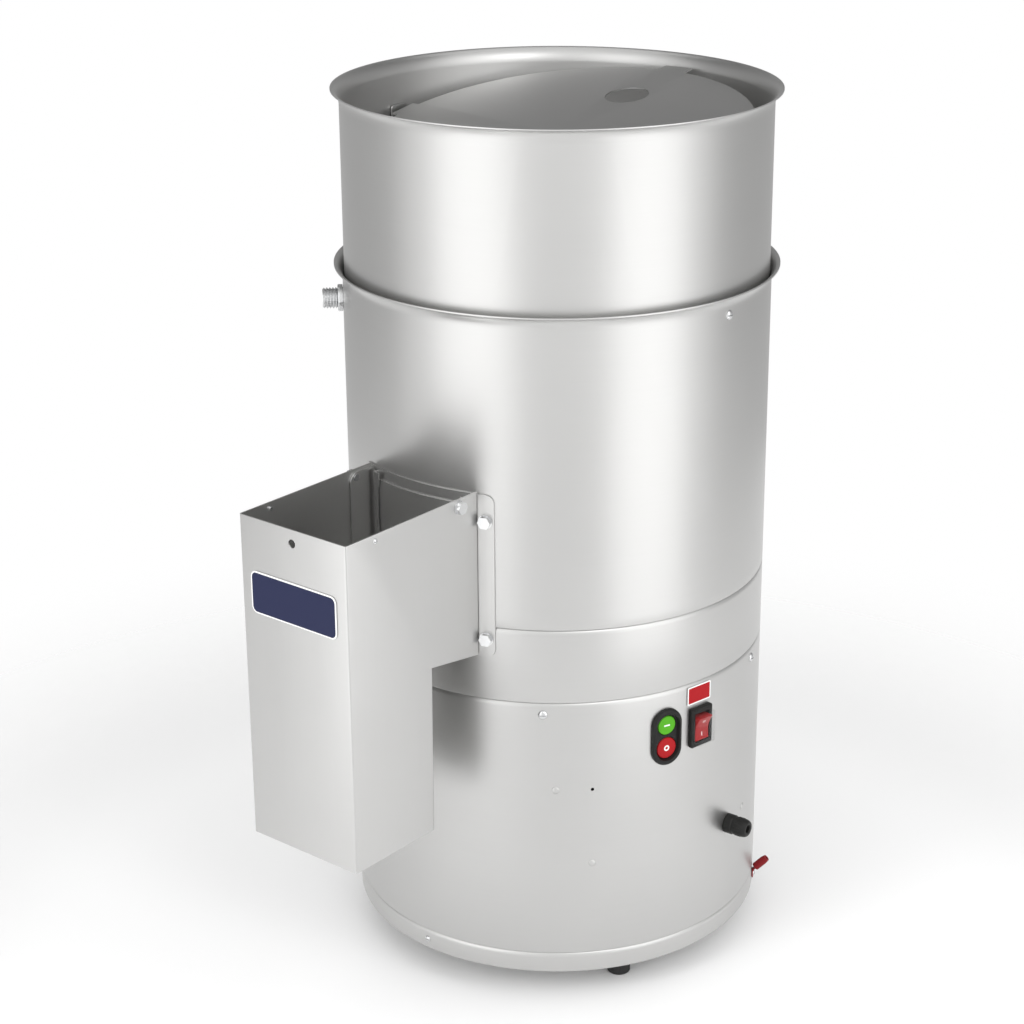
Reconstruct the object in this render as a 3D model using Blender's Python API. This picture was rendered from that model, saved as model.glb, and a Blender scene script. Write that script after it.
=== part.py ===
"""Electric potato peeler: an upright steel drum with a spinning abrasive disc,
a loading ring with a swinging lid, a discharge chute with a sliding gate, and
a belt drive and motor in the lower housing.

Metres, +Z up. The pieces are laid out round the drum's own axis, with heights
measured from the bottom edge of the base ring and the chute towards -X. The
parent empty then moves the whole machine so that the frame's origin is the
middle of its footprint, at floor level.
"""
import math

import bmesh
import bpy
from mathutils import Matrix, Vector

MM = 0.001

# Clearances and general sizes
GAP = 0.3 * MM
RUN_GAP = 0.6 * MM
SHEET = 1.2 * MM
OVERRUN = 4.0 * MM
SHELL_SEGMENTS = 40
PULLEY_SEGMENTS = 24
BELT_SEGMENTS = 36
ROUND_SEGMENTS = 20
SMALL_SEGMENTS = 12
FILLET_STEPS = 2
AXIS_LIMIT = 0.001 * MM

# Drum, from the base ring up
DRUM_R = 190.0 * MM
BASE_TOP_Z = 19.4 * MM
HOUSING_TOP_Z = 266.7 * MM
BAND_TOP_Z = 334.8 * MM
DRUM_TOP_Z = 613.3 * MM
DRUM_FLARE_H = 13.3 * MM
DRUM_FLARE_Z = DRUM_TOP_Z - DRUM_FLARE_H
DRUM_FLARE_OUT = 7.3 * MM
DRUM_FLARE_R = DRUM_R + DRUM_FLARE_OUT
EDGE_FILLET = 2.4 * MM
SKIRT_DROP = 14.0 * MM
SKIRT_R = DRUM_R - EDGE_FILLET - GAP

# Base
FLOOR_THICK = 2.0 * MM
FOOT_INSET = 35.0 * MM
FOOT_CIRCLE_R = DRUM_R - FOOT_INSET
FOOT_R = 11.0 * MM
FOOT_TAPER = 0.7 * MM
FOOT_H = 26.0 * MM
FOOT_COUNT = 3
FOOT_BOLT_R = 3.0 * MM
FOOT_RECESS_R = 6.5 * MM
FOOT_RECESS_DEPTH = 9.0 * MM
BASE_SCREW_Z = 9.3 * MM
VENT_COUNT = 6
VENT_LONG = 46.0 * MM
VENT_WIDE = 7.0 * MM
VENT_CORNER = 3.15 * MM
VENT_INSET = 68.0 * MM
VENT_CIRCLE_R = DRUM_R - VENT_INSET

# Round head screws through the sheet
SCREW_HEAD_R = 4.3 * MM
SCREW_HEAD_H = 2.4 * MM
SCREW_SHANK_R = 2.0 * MM
SCREW_REACH = 8.0 * MM
SCREW_SLOT_W = 1.2 * MM
SCREW_SLOT_DEEP = 1.1 * MM
SCREW_DOME_SHARES = ((0.0, 1.0), (0.55, 0.93), (0.9, 0.55))
BASE_SCREW_HEAD_R = 3.1 * MM
RIVET_SHANK_R = 1.6 * MM

# Hopper ring and inner lid
HOPPER_SHEET = 1.0 * MM
HOPPER_OVERLAP = 28.3 * MM
HOPPER_BOTTOM_Z = DRUM_TOP_Z - HOPPER_OVERLAP
HOPPER_RISE = 153.5 * MM
HOPPER_TOP_Z = DRUM_TOP_Z + HOPPER_RISE
HOPPER_FLARE_H = 13.8 * MM
HOPPER_FLARE_Z = HOPPER_TOP_Z - HOPPER_FLARE_H
HOPPER_SCREW_UP = 10.2 * MM
HOPPER_SCREW_Z = HOPPER_BOTTOM_Z + HOPPER_SCREW_UP
HOPPER_SCREW_AZIMUTHS = (-92.0, 88.0)
HOPPER_RIM_OUT = 5.9 * MM
HOPPER_RIM_R = DRUM_R + HOPPER_RIM_OUT
LID_INSET = 16.0 * MM
LID_R = DRUM_R - LID_INSET
LID_SHEET = 1.2 * MM
LID_RIM_DROP = 5.0 * MM
LID_PIVOT_DROP = 50.8 * MM
LID_PIVOT_Z = HOPPER_TOP_Z - LID_PIVOT_DROP
LID_PLANE_UP = 7.0 * MM
LID_REST_TILT = 10.1
LID_TAB_W = 29.0 * MM
LID_TAB_INSET = 5.0 * MM
LID_TAB_R = DRUM_R - LID_TAB_INSET
LID_EAR_INSET = 11.0 * MM
LID_EAR_Y = DRUM_R - LID_EAR_INSET
LID_HOLE_R = 20.0 * MM
LID_HOLE_INSET = 70.0 * MM
LID_HOLE_X = LID_R - LID_HOLE_INSET
PIVOT_PIN_R = 3.0 * MM
PIVOT_PIN_PAST_EAR = 3.0 * MM
PIVOT_PLATE_W = 20.0 * MM
PIVOT_PLATE_H = 22.0 * MM
PIVOT_PLATE_T = 2.0 * MM
PIVOT_PLATE_CORNER = 3.0 * MM

# Chamber
CHAMBER_FLOOR_Z = 272.0 * MM
CHAMBER_FLOOR_T = 4.0 * MM
CHAMBER_HUB_R = 42.0 * MM
CHAMBER_HUB_UP = 10.0 * MM
CHAMBER_BORE_R = 14.0 * MM
LINING_T = 5.0 * MM
LINING_BOTTOM_Z = 345.0 * MM
LINING_TOP_CLEAR = 21.3 * MM
WINDOW_BOTTOM_Z = 346.0 * MM
WINDOW_TOP_Z = 440.0 * MM
DISC_INSET = 13.0 * MM
DISC_R = DRUM_R - DISC_INSET
DISC_TOP_Z = 340.0 * MM
DISC_T = 12.0 * MM
DISC_RIM_UP = 4.0 * MM
DISC_HUB_R = 24.0 * MM
DISC_HUB_DROP = 22.0 * MM
DISC_WAVES = 3
DISC_WAVE_W = 26.0 * MM
DISC_WAVE_UP = 5.0 * MM
DISC_WAVE_TOP_SHARE = 0.3
CAP_R = 19.0 * MM
CAP_H = 13.0 * MM
CAP_SHARES = ((1.0, 0.35), (0.72, 0.85), (0.3, 1.0), (0.0, 1.0))

# Main shaft and its bearings
SHAFT_R = 10.0 * MM
SHAFT_TOP_R = 8.0 * MM
SHAFT_BOTTOM_Z = 24.0 * MM
SHAFT_TOP_Z = 348.0 * MM
BEARING_R = 23.5 * MM
BEARING_T = 14.0 * MM
BEARING_HOUSING_R = 32.0 * MM
BEARING_HOUSING_BOTTOM_Z = 92.0 * MM
BEARING_FLANGE_R = 58.0 * MM
BEARING_FLANGE_T = 8.0 * MM
BEARING_BORE_LIP = 3.0 * MM
SEAL_R = 20.0 * MM
SEAL_T = 7.0 * MM

# Motor, beside the main shaft
MOTOR_AZIMUTH = 60.0
MOTOR_WALL_GAP = 12.0 * MM
MOTOR_BEARING_GAP = 6.0 * MM
MOTOR_RIB_UP = 4.0 * MM
MOTOR_NEAR_X = BEARING_HOUSING_R + MOTOR_BEARING_GAP
MOTOR_FAR_X = DRUM_R - MOTOR_WALL_GAP
MOTOR_OFFSET = (MOTOR_NEAR_X + MOTOR_FAR_X) / 2.0
MOTOR_R = (MOTOR_FAR_X - MOTOR_NEAR_X) / 2.0 - MOTOR_RIB_UP
MOTOR_SHELL_T = 6.0 * MM
MOTOR_BODY_BOTTOM_Z = 92.0 * MM
MOTOR_BODY_TOP_Z = 196.0 * MM
MOTOR_RIB_COUNT = 18
MOTOR_RIB_W = 2.4 * MM
BELL_T = 16.0 * MM
BELL_STEP = 6.0 * MM
ROTOR_R = 7.0 * MM
STATOR_T = 32.0 * MM
ROTOR_CORE_R = MOTOR_R - STATOR_T
ROTOR_CORE_T = 70.0 * MM
FAN_INSET = 16.0 * MM
FAN_R = MOTOR_R - FAN_INSET
FAN_HUB_R = 14.0 * MM
FAN_T = 14.0 * MM
FAN_CLEAR_Z = 4.0 * MM
FAN_BLADES = 6
FAN_BLADE_W = 2.0 * MM
FAN_COVER_H = 26.0 * MM
FAN_SLOT_COUNT = 8
FAN_SLOT_W = 5.0 * MM
FAN_SLOT_LONG = 26.0 * MM
PLATE_T = 4.0 * MM
PLATE_INNER_X = 46.0 * MM
PLATE_OUTER_INSET = 26.0 * MM
PLATE_OUTER_X = DRUM_R - PLATE_OUTER_INSET
PLATE_INNER_INSET = 82.0 * MM
PLATE_INNER_Y = DRUM_R - PLATE_INNER_INSET
PLATE_OUTER_Y = 74.0 * MM
POST_R = 6.0 * MM
POST_INSET = 9.0 * MM
POST_SCREW_R = 2.5 * MM
CAPACITOR_R = 20.0 * MM
CAPACITOR_H = 82.0 * MM
CAPACITOR_POST_R = 4.0 * MM
CAPACITOR_AZIMUTH = 150.0
CAPACITOR_INSET = 40.0 * MM
CAPACITOR_CIRCLE_R = DRUM_R - CAPACITOR_INSET
CLAMP_T = 2.0 * MM
CLAMP_H = 16.0 * MM

# Belt drive
PULLEY_Z = 45.0 * MM
PULLEY_T = 20.0 * MM
PULLEY_APART = 9.0 * MM
MOTOR_PULLEY_R = 25.0 * MM
DRIVEN_R = MOTOR_OFFSET - MOTOR_PULLEY_R - PULLEY_APART
PULLEY_HUB_R = 22.0 * MM
PULLEY_HUB_UP = 12.0 * MM
PULLEY_WEB_T = 8.0 * MM
PULLEY_RIM_T = 14.0 * MM
PULLEY_WINDOW_COUNT = 5
PULLEY_SPOKE_MARGIN = 6.0 * MM
PULLEY_WEB_OUTER_R = DRIVEN_R - PULLEY_RIM_T
PULLEY_WINDOW_R = (PULLEY_WEB_OUTER_R - PULLEY_HUB_R) / 2.0 - PULLEY_SPOKE_MARGIN
PULLEY_WINDOW_CIRCLE_R = (PULLEY_WEB_OUTER_R + PULLEY_HUB_R) / 2.0
BELT_TOP_W = 10.0 * MM
BELT_BOTTOM_W = 6.4 * MM
BELT_DEPTH = 7.0 * MM
BELT_PROUD = 0.8 * MM

# Chute: duct on the drum, and the tall box in front
NECK_TOP_Z = 455.7 * MM
NECK_PLATE_BOTTOM_Z = 307.0 * MM
NECK_FLOOR_BACK_Z = 309.0 * MM
NECK_FLOOR_FRONT_Z = 317.5 * MM
NECK_OUT = 23.0 * MM
NECK_FRONT_X = -DRUM_R - NECK_OUT
NECK_CORNER_R = 10.0 * MM
PLATE_CORNER_R = 8.0 * MM
BOX_HALF_W = 59.6 * MM
BOX_FRONT_OUT = 152.0 * MM
BOX_FRONT_X = -DRUM_R - BOX_FRONT_OUT
BOX_REAR_OUT = 53.5 * MM
BOX_REAR_X = -DRUM_R - BOX_REAR_OUT
BOX_TOP_Z = 458.0 * MM
BOX_BOTTOM_Z = 166.0 * MM
BOX_WALL_BOTTOM_Z = 318.0 * MM
BOX_SHEET = 1.2 * MM
BOX_FRONT_HOLE_R = 3.8 * MM
BOX_FRONT_HOLE_DROP = 12.0 * MM
HEX_FLAT_R = 5.0 * MM
HEX_HEAD_H = 4.0 * MM
WASHER_R = 6.2 * MM
WASHER_T = 1.2 * MM
BOLT_R = 3.0 * MM
BOLT_REACH = 4.0 * MM
NUT_H = 4.5 * MM
PLATE_BOLT_BESIDE = 5.9 * MM
PLATE_BOLT_HALF_W = BOX_HALF_W + PLATE_BOLT_BESIDE
PLATE_EDGE = 7.5 * MM
NECK_PLATE_HALF_W = PLATE_BOLT_HALF_W + PLATE_EDGE
PLATE_BOLT_HIGH_Z = 431.8 * MM
PLATE_BOLT_LOW_Z = 324.4 * MM
WALL_BOLT_OUT = 16.0 * MM
WALL_BOLT_X = -DRUM_R - WALL_BOLT_OUT
WALL_BOLT_DROP = 7.0 * MM
WALL_SCREW_BACK = 34.0 * MM
WALL_SCREW_X = BOX_FRONT_X + WALL_SCREW_BACK
WALL_SCREW_DROP = 5.6 * MM
NAME_PLATE_W = 96.0 * MM
NAME_PLATE_H = 37.5 * MM
NAME_PLATE_T = 1.0 * MM
NAME_PLATE_DROP = 46.0 * MM
NAME_PLATE_CORNER = 6.0 * MM
GATE_T = 1.5 * MM
RAIL_INSET = 5.6 * MM
RAIL_HALF_W = BOX_HALF_W - RAIL_INSET
RAIL_SIDE = 4.0 * MM
GATE_HALF_W = RAIL_HALF_W - RAIL_SIDE
GATE_LAP = 2.0 * MM
WINDOW_W = 2.0 * (GATE_HALF_W - GATE_LAP)
GATE_BOTTOM_Z = 336.0 * MM
GATE_TOP_Z = 446.0 * MM
GATE_LIP_Z = 352.0 * MM
GATE_LIP_OUT = 12.0 * MM
GATE_LIP_HALF_W = 26.0 * MM
GATE_LIP_T = 2.0 * MM
RAIL_T = 1.2 * MM
RAIL_COVER = 4.0 * MM
RAIL_BOTTOM_Z = 330.0 * MM
RAIL_TOP_Z = 452.0 * MM

# Controls on the lower housing, by azimuth
BEZEL_AZIMUTH = -111.3
BEZEL_Z = 223.0 * MM
BEZEL_W = 30.0 * MM
BEZEL_H = 54.0 * MM
BEZEL_PROUD = 4.0 * MM
BEZEL_DISH_W = 23.0 * MM
BEZEL_DISH_H = 43.5 * MM
BEZEL_DISH_UP = 0.8 * MM
BEZEL_BODY_W = 27.0 * MM
BEZEL_BODY_H = 46.0 * MM
BEZEL_BODY_IN = 24.0 * MM
BUTTON_SPACING = 22.0 * MM
START_R = 8.9 * MM
STOP_R = 9.8 * MM
BUTTON_STEM_R = 5.0 * MM
BUTTON_TRAVEL = 3.5 * MM
START_PROUD = 1.6 * MM
STOP_PROUD = 1.6 * MM
BUTTON_CAP_T = 6.0 * MM
BUTTON_EDGE = 0.9 * MM
CONTACT_DEEP = 30.0 * MM
CONTACT_W = 26.0 * MM
CONTACT_H = 48.0 * MM
ROCKER_AZIMUTH = -100.0
ROCKER_Z = 223.5 * MM
ROCKER_W = 25.6 * MM
ROCKER_H = 37.5 * MM
ROCKER_PROUD = 4.0 * MM
ROCKER_CORNER = 2.0 * MM
ROCKER_BODY_IN = 26.0 * MM
ROCKER_BODY_W = 23.0 * MM
ROCKER_BODY_H = 32.0 * MM
ROCKER_KEY_W = 17.6 * MM
ROCKER_KEY_H = 27.5 * MM
ROCKER_KEY_OUT = 6.4 * MM
ROCKER_KEY_IN = 9.0 * MM
ROCKER_KEY_END_GAP = 1.8 * MM
ROCKER_KEY_BELLY_SHARES = ((-0.75, 0.7), (0.0, 1.0), (0.75, 0.7))
ROCKER_KEY_FACE_SHARES = ((1.0, 1.0), (0.0, 0.55), (-1.0, 1.0))
ROCKER_PIVOT_IN = 3.6 * MM
ROCKER_PIN_R = 1.5 * MM
ROCKER_PIN_DEEP = 2.6 * MM
ROCKER_SWING = 12.0
COVER_T = 1.0 * MM
COVER_MARGIN = 2.0 * MM
COVER_OUT = 10.5 * MM
SIGN_AZIMUTH = -100.4
SIGN_Z = 255.0 * MM
SIGN_W = 27.9 * MM
SIGN_H = 17.0 * MM
SIGN_T = 0.5 * MM
SIGN_CORNER = 1.0 * MM
GLAND_AZIMUTH = -86.3
GLAND_Z = 107.1 * MM
GLAND_THREAD_R = 6.0 * MM
GLAND_BODY_R = 9.0 * MM
GLAND_BODY_T = 8.0 * MM
GLAND_DOME_T = 14.5 * MM
GLAND_WAIST_SHARE = 0.9
GLAND_CAP_SHARE = 0.98
GLAND_MOUTH_SHARE = 0.72
GLAND_SHOULDER_SHARE = 0.8
GLAND_BORE_R = 3.6 * MM
GLAND_REACH = 12.0 * MM
GLAND_NUT_T = 5.0 * MM
EARTH_AZIMUTH = -60.0
EARTH_RING_R = 5.0 * MM
EARTH_RING_T = 1.0 * MM
EARTH_SLEEVE_R = 3.8 * MM
EARTH_SLEEVE_L = 15.0 * MM
EARTH_SLEEVE_REACH = 4.0 * MM
EARTH_ROOT_SHARE = 0.7
EARTH_TONGUE_SHARE = 0.5
EARTH_MOUTH_SHARE = 0.5
EARTH_MOUTH_UP_SHARE = 0.7
EARTH_LEAN = 45.0
PANEL_HOLE_R = 1.9 * MM
PANEL_HOLE_AZIMUTH = -132.1
PANEL_HOLE_Z = 183.0 * MM

# Water
INLET_AZIMUTH = 134.5
INLET_DROP = 3.7 * MM
INLET_Z = HOPPER_BOTTOM_Z - INLET_DROP
LINING_TOP_Z = INLET_Z - LINING_TOP_CLEAR
INLET_THREAD_R = 9.35 * MM
INLET_ROOT_R = 8.1 * MM
INLET_BORE_R = 6.0 * MM
INLET_OUT = 18.1 * MM
INLET_COLLAR_R = 12.0 * MM
INLET_COLLAR_T = 4.5 * MM
INLET_THREADS = 5
INLET_CREST_SHARES = (0.4, 0.6)
INLET_IN = 7.0 * MM
INLET_NOTCH_HALF_W = 14.5 * MM
DRAIN_AZIMUTH = 15.0
DRAIN_INSET = 40.0 * MM
DRAIN_CIRCLE_R = DRUM_R - DRAIN_INSET
DRAIN_R = 17.0 * MM
DRAIN_PIPE_R = 14.0 * MM
DRAIN_WALL = 2.0 * MM
DRAIN_DROP = 34.0 * MM
DRAIN_OUT = 42.0 * MM
DRAIN_OUT_R = DRUM_R + DRAIN_OUT

# Colours, roughness and metal of each finish
STEEL = ("steel", (0.62, 0.62, 0.61), 0.32, 1.0)
BRIGHT = ("bright_steel", (0.75, 0.75, 0.74), 0.22, 1.0)
CAST = ("cast_aluminium", (0.55, 0.56, 0.57), 0.5, 1.0)
DARK_STEEL = ("dark_steel", (0.25, 0.25, 0.26), 0.45, 1.0)
BLACK = ("black_plastic", (0.02, 0.02, 0.02), 0.45, 0.0)
RUBBER = ("black_rubber", (0.015, 0.015, 0.015), 0.75, 0.0)
GREEN = ("green_plastic", (0.10, 0.50, 0.04), 0.35, 0.0)
RED = ("red_plastic", (0.55, 0.02, 0.02), 0.35, 0.0)
CLEAR = ("clear_plastic", (0.8, 0.8, 0.8), 0.1, 0.0)
GRIT = ("abrasive_grit", (0.09, 0.08, 0.08), 0.9, 0.0)
NAVY = ("navy_plate", (0.03, 0.04, 0.10), 0.4, 0.0)
MOTOR_GREY = ("motor_paint", (0.16, 0.20, 0.24), 0.5, 0.0)

FULL_TURN = 2.0 * math.pi
QUARTER_DEG = 90.0
SIDES = (-1.0, 1.0)
root = None


# Placing

def at(x=0.0, y=0.0, z=0.0, turn=0.0):
    """A place on the drum's axis frame, turned by degrees about +Z."""
    return Matrix.Translation((x, y, z)) @ Matrix.Rotation(math.radians(turn), 4, "Z")


def round_axis(azimuth, radius, z):
    """An upright place at an azimuth: local +X points outward, local +Z up."""
    return Matrix.Rotation(math.radians(azimuth), 4, "Z") @ Matrix.Translation((radius, 0.0, z))


def on_wall(azimuth, radius, z):
    """A place on the drum's wall: local +Z outward, +Y up, +X along the wall."""
    return round_axis(azimuth, radius, z) @ sideways()


def sideways():
    """Turns local +Z to +X and local +Y to +Z."""
    return Matrix(((0, 0, 1, 0), (1, 0, 0, 0), (0, 1, 0, 0), (0, 0, 0, 1)))


def spread(count, start=0.0):
    """Evenly spread azimuths in degrees."""
    return [start + 360.0 * i / count for i in range(count)]


# Outlines, as lists of (x, y) or (radius, z)

def arc(cx, cy, radius, start, end, steps):
    """Points of an arc, in degrees, both ends included."""
    points = []
    for i in range(steps + 1):
        angle = math.radians(start + (end - start) * i / steps)
        points.append((cx + radius * math.cos(angle), cy + radius * math.sin(angle)))
    return points


def rectangle(x0, y0, x1, y1):
    return [(x0, y0), (x1, y0), (x1, y1), (x0, y1)]


def rounded(width, height, radius, steps=FILLET_STEPS):
    """A rectangle with round corners, centred on the origin."""
    hx = width / 2.0 - radius
    hy = height / 2.0 - radius
    points = []
    for turns, (cx, cy) in enumerate(((hx, -hy), (hx, hy), (-hx, hy), (-hx, -hy)), -1):
        start = turns * QUARTER_DEG
        points += arc(cx, cy, radius, start, start + QUARTER_DEG, steps)
    return points


def pill(width, height, steps=6):
    """An upright slot shape with half-round ends."""
    radius = width / 2.0
    reach = height / 2.0 - radius
    return arc(0.0, reach, radius, 0.0, 180.0, steps) + arc(0.0, -reach, radius, 180.0, 360.0, steps)


def hexagon(flat_r):
    corner = flat_r / math.cos(math.pi / 6.0)
    return [(corner * math.cos(a), corner * math.sin(a)) for a in
            (math.radians(60.0 * i) for i in range(6))]


def tube_profile(outer, inner, low, high):
    return [(outer, low), (outer, high), (inner, high), (inner, low)]


def rod_profile(radius, low, high, chamfer=0.0):
    if chamfer == 0.0:
        return [(0.0, low), (radius, low), (radius, high), (0.0, high)]
    return [(0.0, low), (radius - chamfer, low), (radius, low + chamfer),
            (radius, high - chamfer), (radius - chamfer, high), (0.0, high)]


# Solids, added to a bmesh

def add_lathe(bm, profile, place=None, segments=ROUND_SEGMENTS):
    """Turns a closed (radius, z) outline about local +Z."""
    place = place or Matrix()
    rings = []
    for radius, z in profile:
        if abs(radius) < AXIS_LIMIT:
            rings.append([bm.verts.new(place @ Vector((0.0, 0.0, z)))] * segments)
            continue
        ring = []
        for i in range(segments):
            angle = FULL_TURN * i / segments
            point = Vector((radius * math.cos(angle), radius * math.sin(angle), z))
            ring.append(bm.verts.new(place @ point))
        rings.append(ring)
    for lower, upper in zip(rings, rings[1:] + rings[:1]):
        for i in range(segments):
            j = (i + 1) % segments
            corners = []
            for vert in (lower[i], lower[j], upper[j], upper[i]):
                if vert not in corners:
                    corners.append(vert)
            if len(corners) > 2:
                bm.faces.new(corners)


def add_prism(bm, outline, low, high, place=None):
    """Stands a closed (x, y) outline up along local +Z."""
    place = place or Matrix()
    bottom = [bm.verts.new(place @ Vector((x, y, low))) for x, y in outline]
    top = [bm.verts.new(place @ Vector((x, y, high))) for x, y in outline]
    bm.faces.new(bottom)
    bm.faces.new(top)
    for i in range(len(outline)):
        j = (i + 1) % len(outline)
        bm.faces.new((bottom[i], bottom[j], top[j], top[i]))


def add_box(bm, low, high, place=None):
    add_prism(bm, rectangle(low[0], low[1], high[0], high[1]), low[2], high[2], place)


# Objects

def material_of(finish):
    name, color, roughness, metallic = finish
    material = bpy.data.materials.get(name)
    if material is None:
        material = bpy.data.materials.new(name)
        material.use_nodes = True
        shader = material.node_tree.nodes["Principled BSDF"]
        shader.inputs["Base Color"].default_value = (*color, 1.0)
        shader.inputs["Roughness"].default_value = roughness
        shader.inputs["Metallic"].default_value = metallic
        material.diffuse_color = (*color, 1.0)
    return material


def make(name, finish, bm, place=None, parent=None):
    """Turns a bmesh into a named object under its parent."""
    bmesh.ops.recalc_face_normals(bm, faces=bm.faces)
    mesh = bpy.data.meshes.new(name)
    bm.to_mesh(mesh)
    bm.free()
    mesh.shade_smooth()
    mesh.set_sharp_from_angle(angle=math.radians(30.0))
    thing = bpy.data.objects.new(name, mesh)
    bpy.context.collection.objects.link(thing)
    thing.parent = parent or root
    thing.matrix_basis = place or Matrix()
    if finish is not None:
        mesh.materials.append(material_of(finish))
    return thing


def new_mesh():
    return bmesh.new()


def lathe(name, finish, profile, place=None, parent=None, segments=ROUND_SEGMENTS):
    bm = new_mesh()
    add_lathe(bm, profile, segments=segments)
    return make(name, finish, bm, place, parent)


def prism(name, finish, outline, low, high, place=None, parent=None):
    bm = new_mesh()
    add_prism(bm, outline, low, high)
    return make(name, finish, bm, place, parent)


def pivot(name, place, parent=None):
    """An empty on a joint's axis."""
    empty = bpy.data.objects.new(name, None)
    bpy.context.collection.objects.link(empty)
    empty.parent = parent or root
    empty.matrix_basis = place
    empty.empty_display_size = DRUM_R / 4.0
    return empty


def combine(target, tool, operation):
    """A Boolean by a hidden guide object, which rides with its target."""
    tool.parent = target.parent
    tool.hide_render = True
    tool.display_type = "WIRE"
    step = target.modifiers.new(tool.name, "BOOLEAN")
    step.operation = operation
    step.solver = "EXACT"
    step.object = tool
    return target


def cut(target, bm):
    """Takes away everything in a bmesh, given in the target's parent's frame."""
    return combine(target, make(target.name + "_cutter", None, bm), "DIFFERENCE")


def keep(target, bm):
    """Keeps only what lies in a bmesh, given in the target's parent's frame."""
    return combine(target, make(target.name + "_keeper", None, bm), "INTERSECT")


def fuse(target, bm):
    """Joins a bmesh on, given in the target's parent's frame."""
    return combine(target, make(target.name + "_extra", None, bm), "UNION")


def rod_bm(bm, radius, low, high, place, segments=SMALL_SEGMENTS):
    add_lathe(bm, rod_profile(radius, low, high), place, segments)


def add_screw(bm, place, head_r, head_h, shank_r, reach):
    """A domed, slotted screw whose head seats at local z = 0 and shank goes inward."""
    dome = [(head_r * out, head_h * up) for out, up in SCREW_DOME_SHARES] + [(head_r, GAP)]
    profile = [(0.0, -reach), (shank_r, -reach), (shank_r, GAP)] + dome[::-1]
    add_lathe(bm, profile, place, SMALL_SEGMENTS)


def hex_bolt(name, place, reach):
    """A hex head on its washer; the washer seats at local z = 0."""
    bolt = lathe(name, BRIGHT,
                 [(0.0, -reach), (BOLT_R, -reach), (BOLT_R, GAP), (WASHER_R, GAP),
                  (WASHER_R, WASHER_T), (0.0, WASHER_T)], place, segments=SMALL_SEGMENTS)
    head = new_mesh()
    add_prism(head, hexagon(HEX_FLAT_R), WASHER_T - GAP, HEX_HEAD_H + GAP, place)
    return fuse(bolt, head)


# Sheet shells of the drum

def rolled_edge(top):
    """The rounded shoulder on a lower shell's top, from its outside to its inside."""
    centre_r = DRUM_R - EDGE_FILLET
    outer = arc(centre_r, top - EDGE_FILLET, EDGE_FILLET, 0.0, 90.0, FILLET_STEPS)
    inner = arc(centre_r, top - EDGE_FILLET, EDGE_FILLET - SHEET, 90.0, 0.0, FILLET_STEPS)
    return outer + inner


def skirt_outside(seam):
    """The stepped-in skirt that drops inside the shell below, outer side."""
    return [(SKIRT_R, seam - SKIRT_DROP), (SKIRT_R, seam + GAP), (DRUM_R, seam + GAP)]


def skirt_inside(seam):
    return [(DRUM_R - SHEET, seam + GAP + SHEET), (SKIRT_R - SHEET, seam + GAP + SHEET),
            (SKIRT_R - SHEET, seam - SKIRT_DROP)]


FLARE_OUT_SHARES = (0.0, 0.10, 0.32, 0.64, 1.0)
FLARE_UP_SHARES = (0.0, 0.38, 0.66, 0.87, 1.0)


def flare(radius, start, rim_r, top, sheet):
    """A rim that curves outward, up its outside and back down its inside."""
    out = [(radius + (rim_r - radius) * o, start + (top - sheet - start) * u)
           for o, u in zip(FLARE_OUT_SHARES, FLARE_UP_SHARES)]
    inside = [(r - sheet * (1.0 - u), z + sheet * u) for (r, z), u in zip(out, FLARE_UP_SHARES)]
    return out + inside[::-1]


def radial_holes(bm, azimuths, z, radius, depth=EDGE_FILLET + SHEET, segments=SMALL_SEGMENTS):
    """Drills inward through the drum wall and, where it has one, the skirt."""
    for azimuth in azimuths:
        rod_bm(bm, radius, -depth - OVERRUN, OVERRUN, on_wall(azimuth, DRUM_R, z), segments)


def foot_azimuths():
    return spread(FOOT_COUNT)


def make_base():
    edge = EDGE_FILLET - SHEET
    profile = [(0.0, 0.0), (DRUM_R - edge, 0.0), (DRUM_R, edge)] + rolled_edge(BASE_TOP_Z)
    profile += [(DRUM_R - SHEET, FLOOR_THICK), (0.0, FLOOR_THICK)]
    pan = lathe("base_pan", STEEL, profile, segments=SHELL_SEGMENTS)
    holes = new_mesh()
    radial_holes(holes, (EARTH_AZIMUTH,), BASE_SCREW_Z, SCREW_SHANK_R + GAP)
    for azimuth in foot_azimuths():
        rod_bm(holes, FOOT_BOLT_R + GAP, -OVERRUN, FLOOR_THICK + OVERRUN,
               round_axis(azimuth, FOOT_CIRCLE_R, 0.0))
    for azimuth in spread(VENT_COUNT, 180.0 / VENT_COUNT):
        slot = rounded(VENT_LONG, VENT_WIDE, VENT_CORNER)
        add_prism(holes, slot, -OVERRUN, FLOOR_THICK + OVERRUN,
                  round_axis(azimuth, VENT_CIRCLE_R, 0.0))
    for place in post_places():
        rod_bm(holes, POST_SCREW_R + GAP, -OVERRUN, FLOOR_THICK + OVERRUN, place)
    cut(pan, holes)

    top = FLOOR_THICK + GAP
    for number, azimuth in enumerate(foot_azimuths(), 1):
        lathe("rubber_foot_%d" % number, RUBBER,
              [(0.0, -FOOT_H + FOOT_RECESS_DEPTH), (FOOT_RECESS_R, -FOOT_H + FOOT_RECESS_DEPTH),
               (FOOT_RECESS_R, -FOOT_H), (FOOT_R - FOOT_TAPER, -FOOT_H),
               (FOOT_R, -FOOT_TAPER), (FOOT_R, -GAP), (FOOT_BOLT_R, -GAP), (FOOT_BOLT_R, top),
               (HEX_FLAT_R, top), (HEX_FLAT_R, top + NUT_H), (FOOT_BOLT_R, top + NUT_H),
               (FOOT_BOLT_R, top + NUT_H + SHEET), (0.0, top + NUT_H + SHEET)],
              round_axis(azimuth, FOOT_CIRCLE_R, 0.0), segments=SMALL_SEGMENTS)


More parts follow.
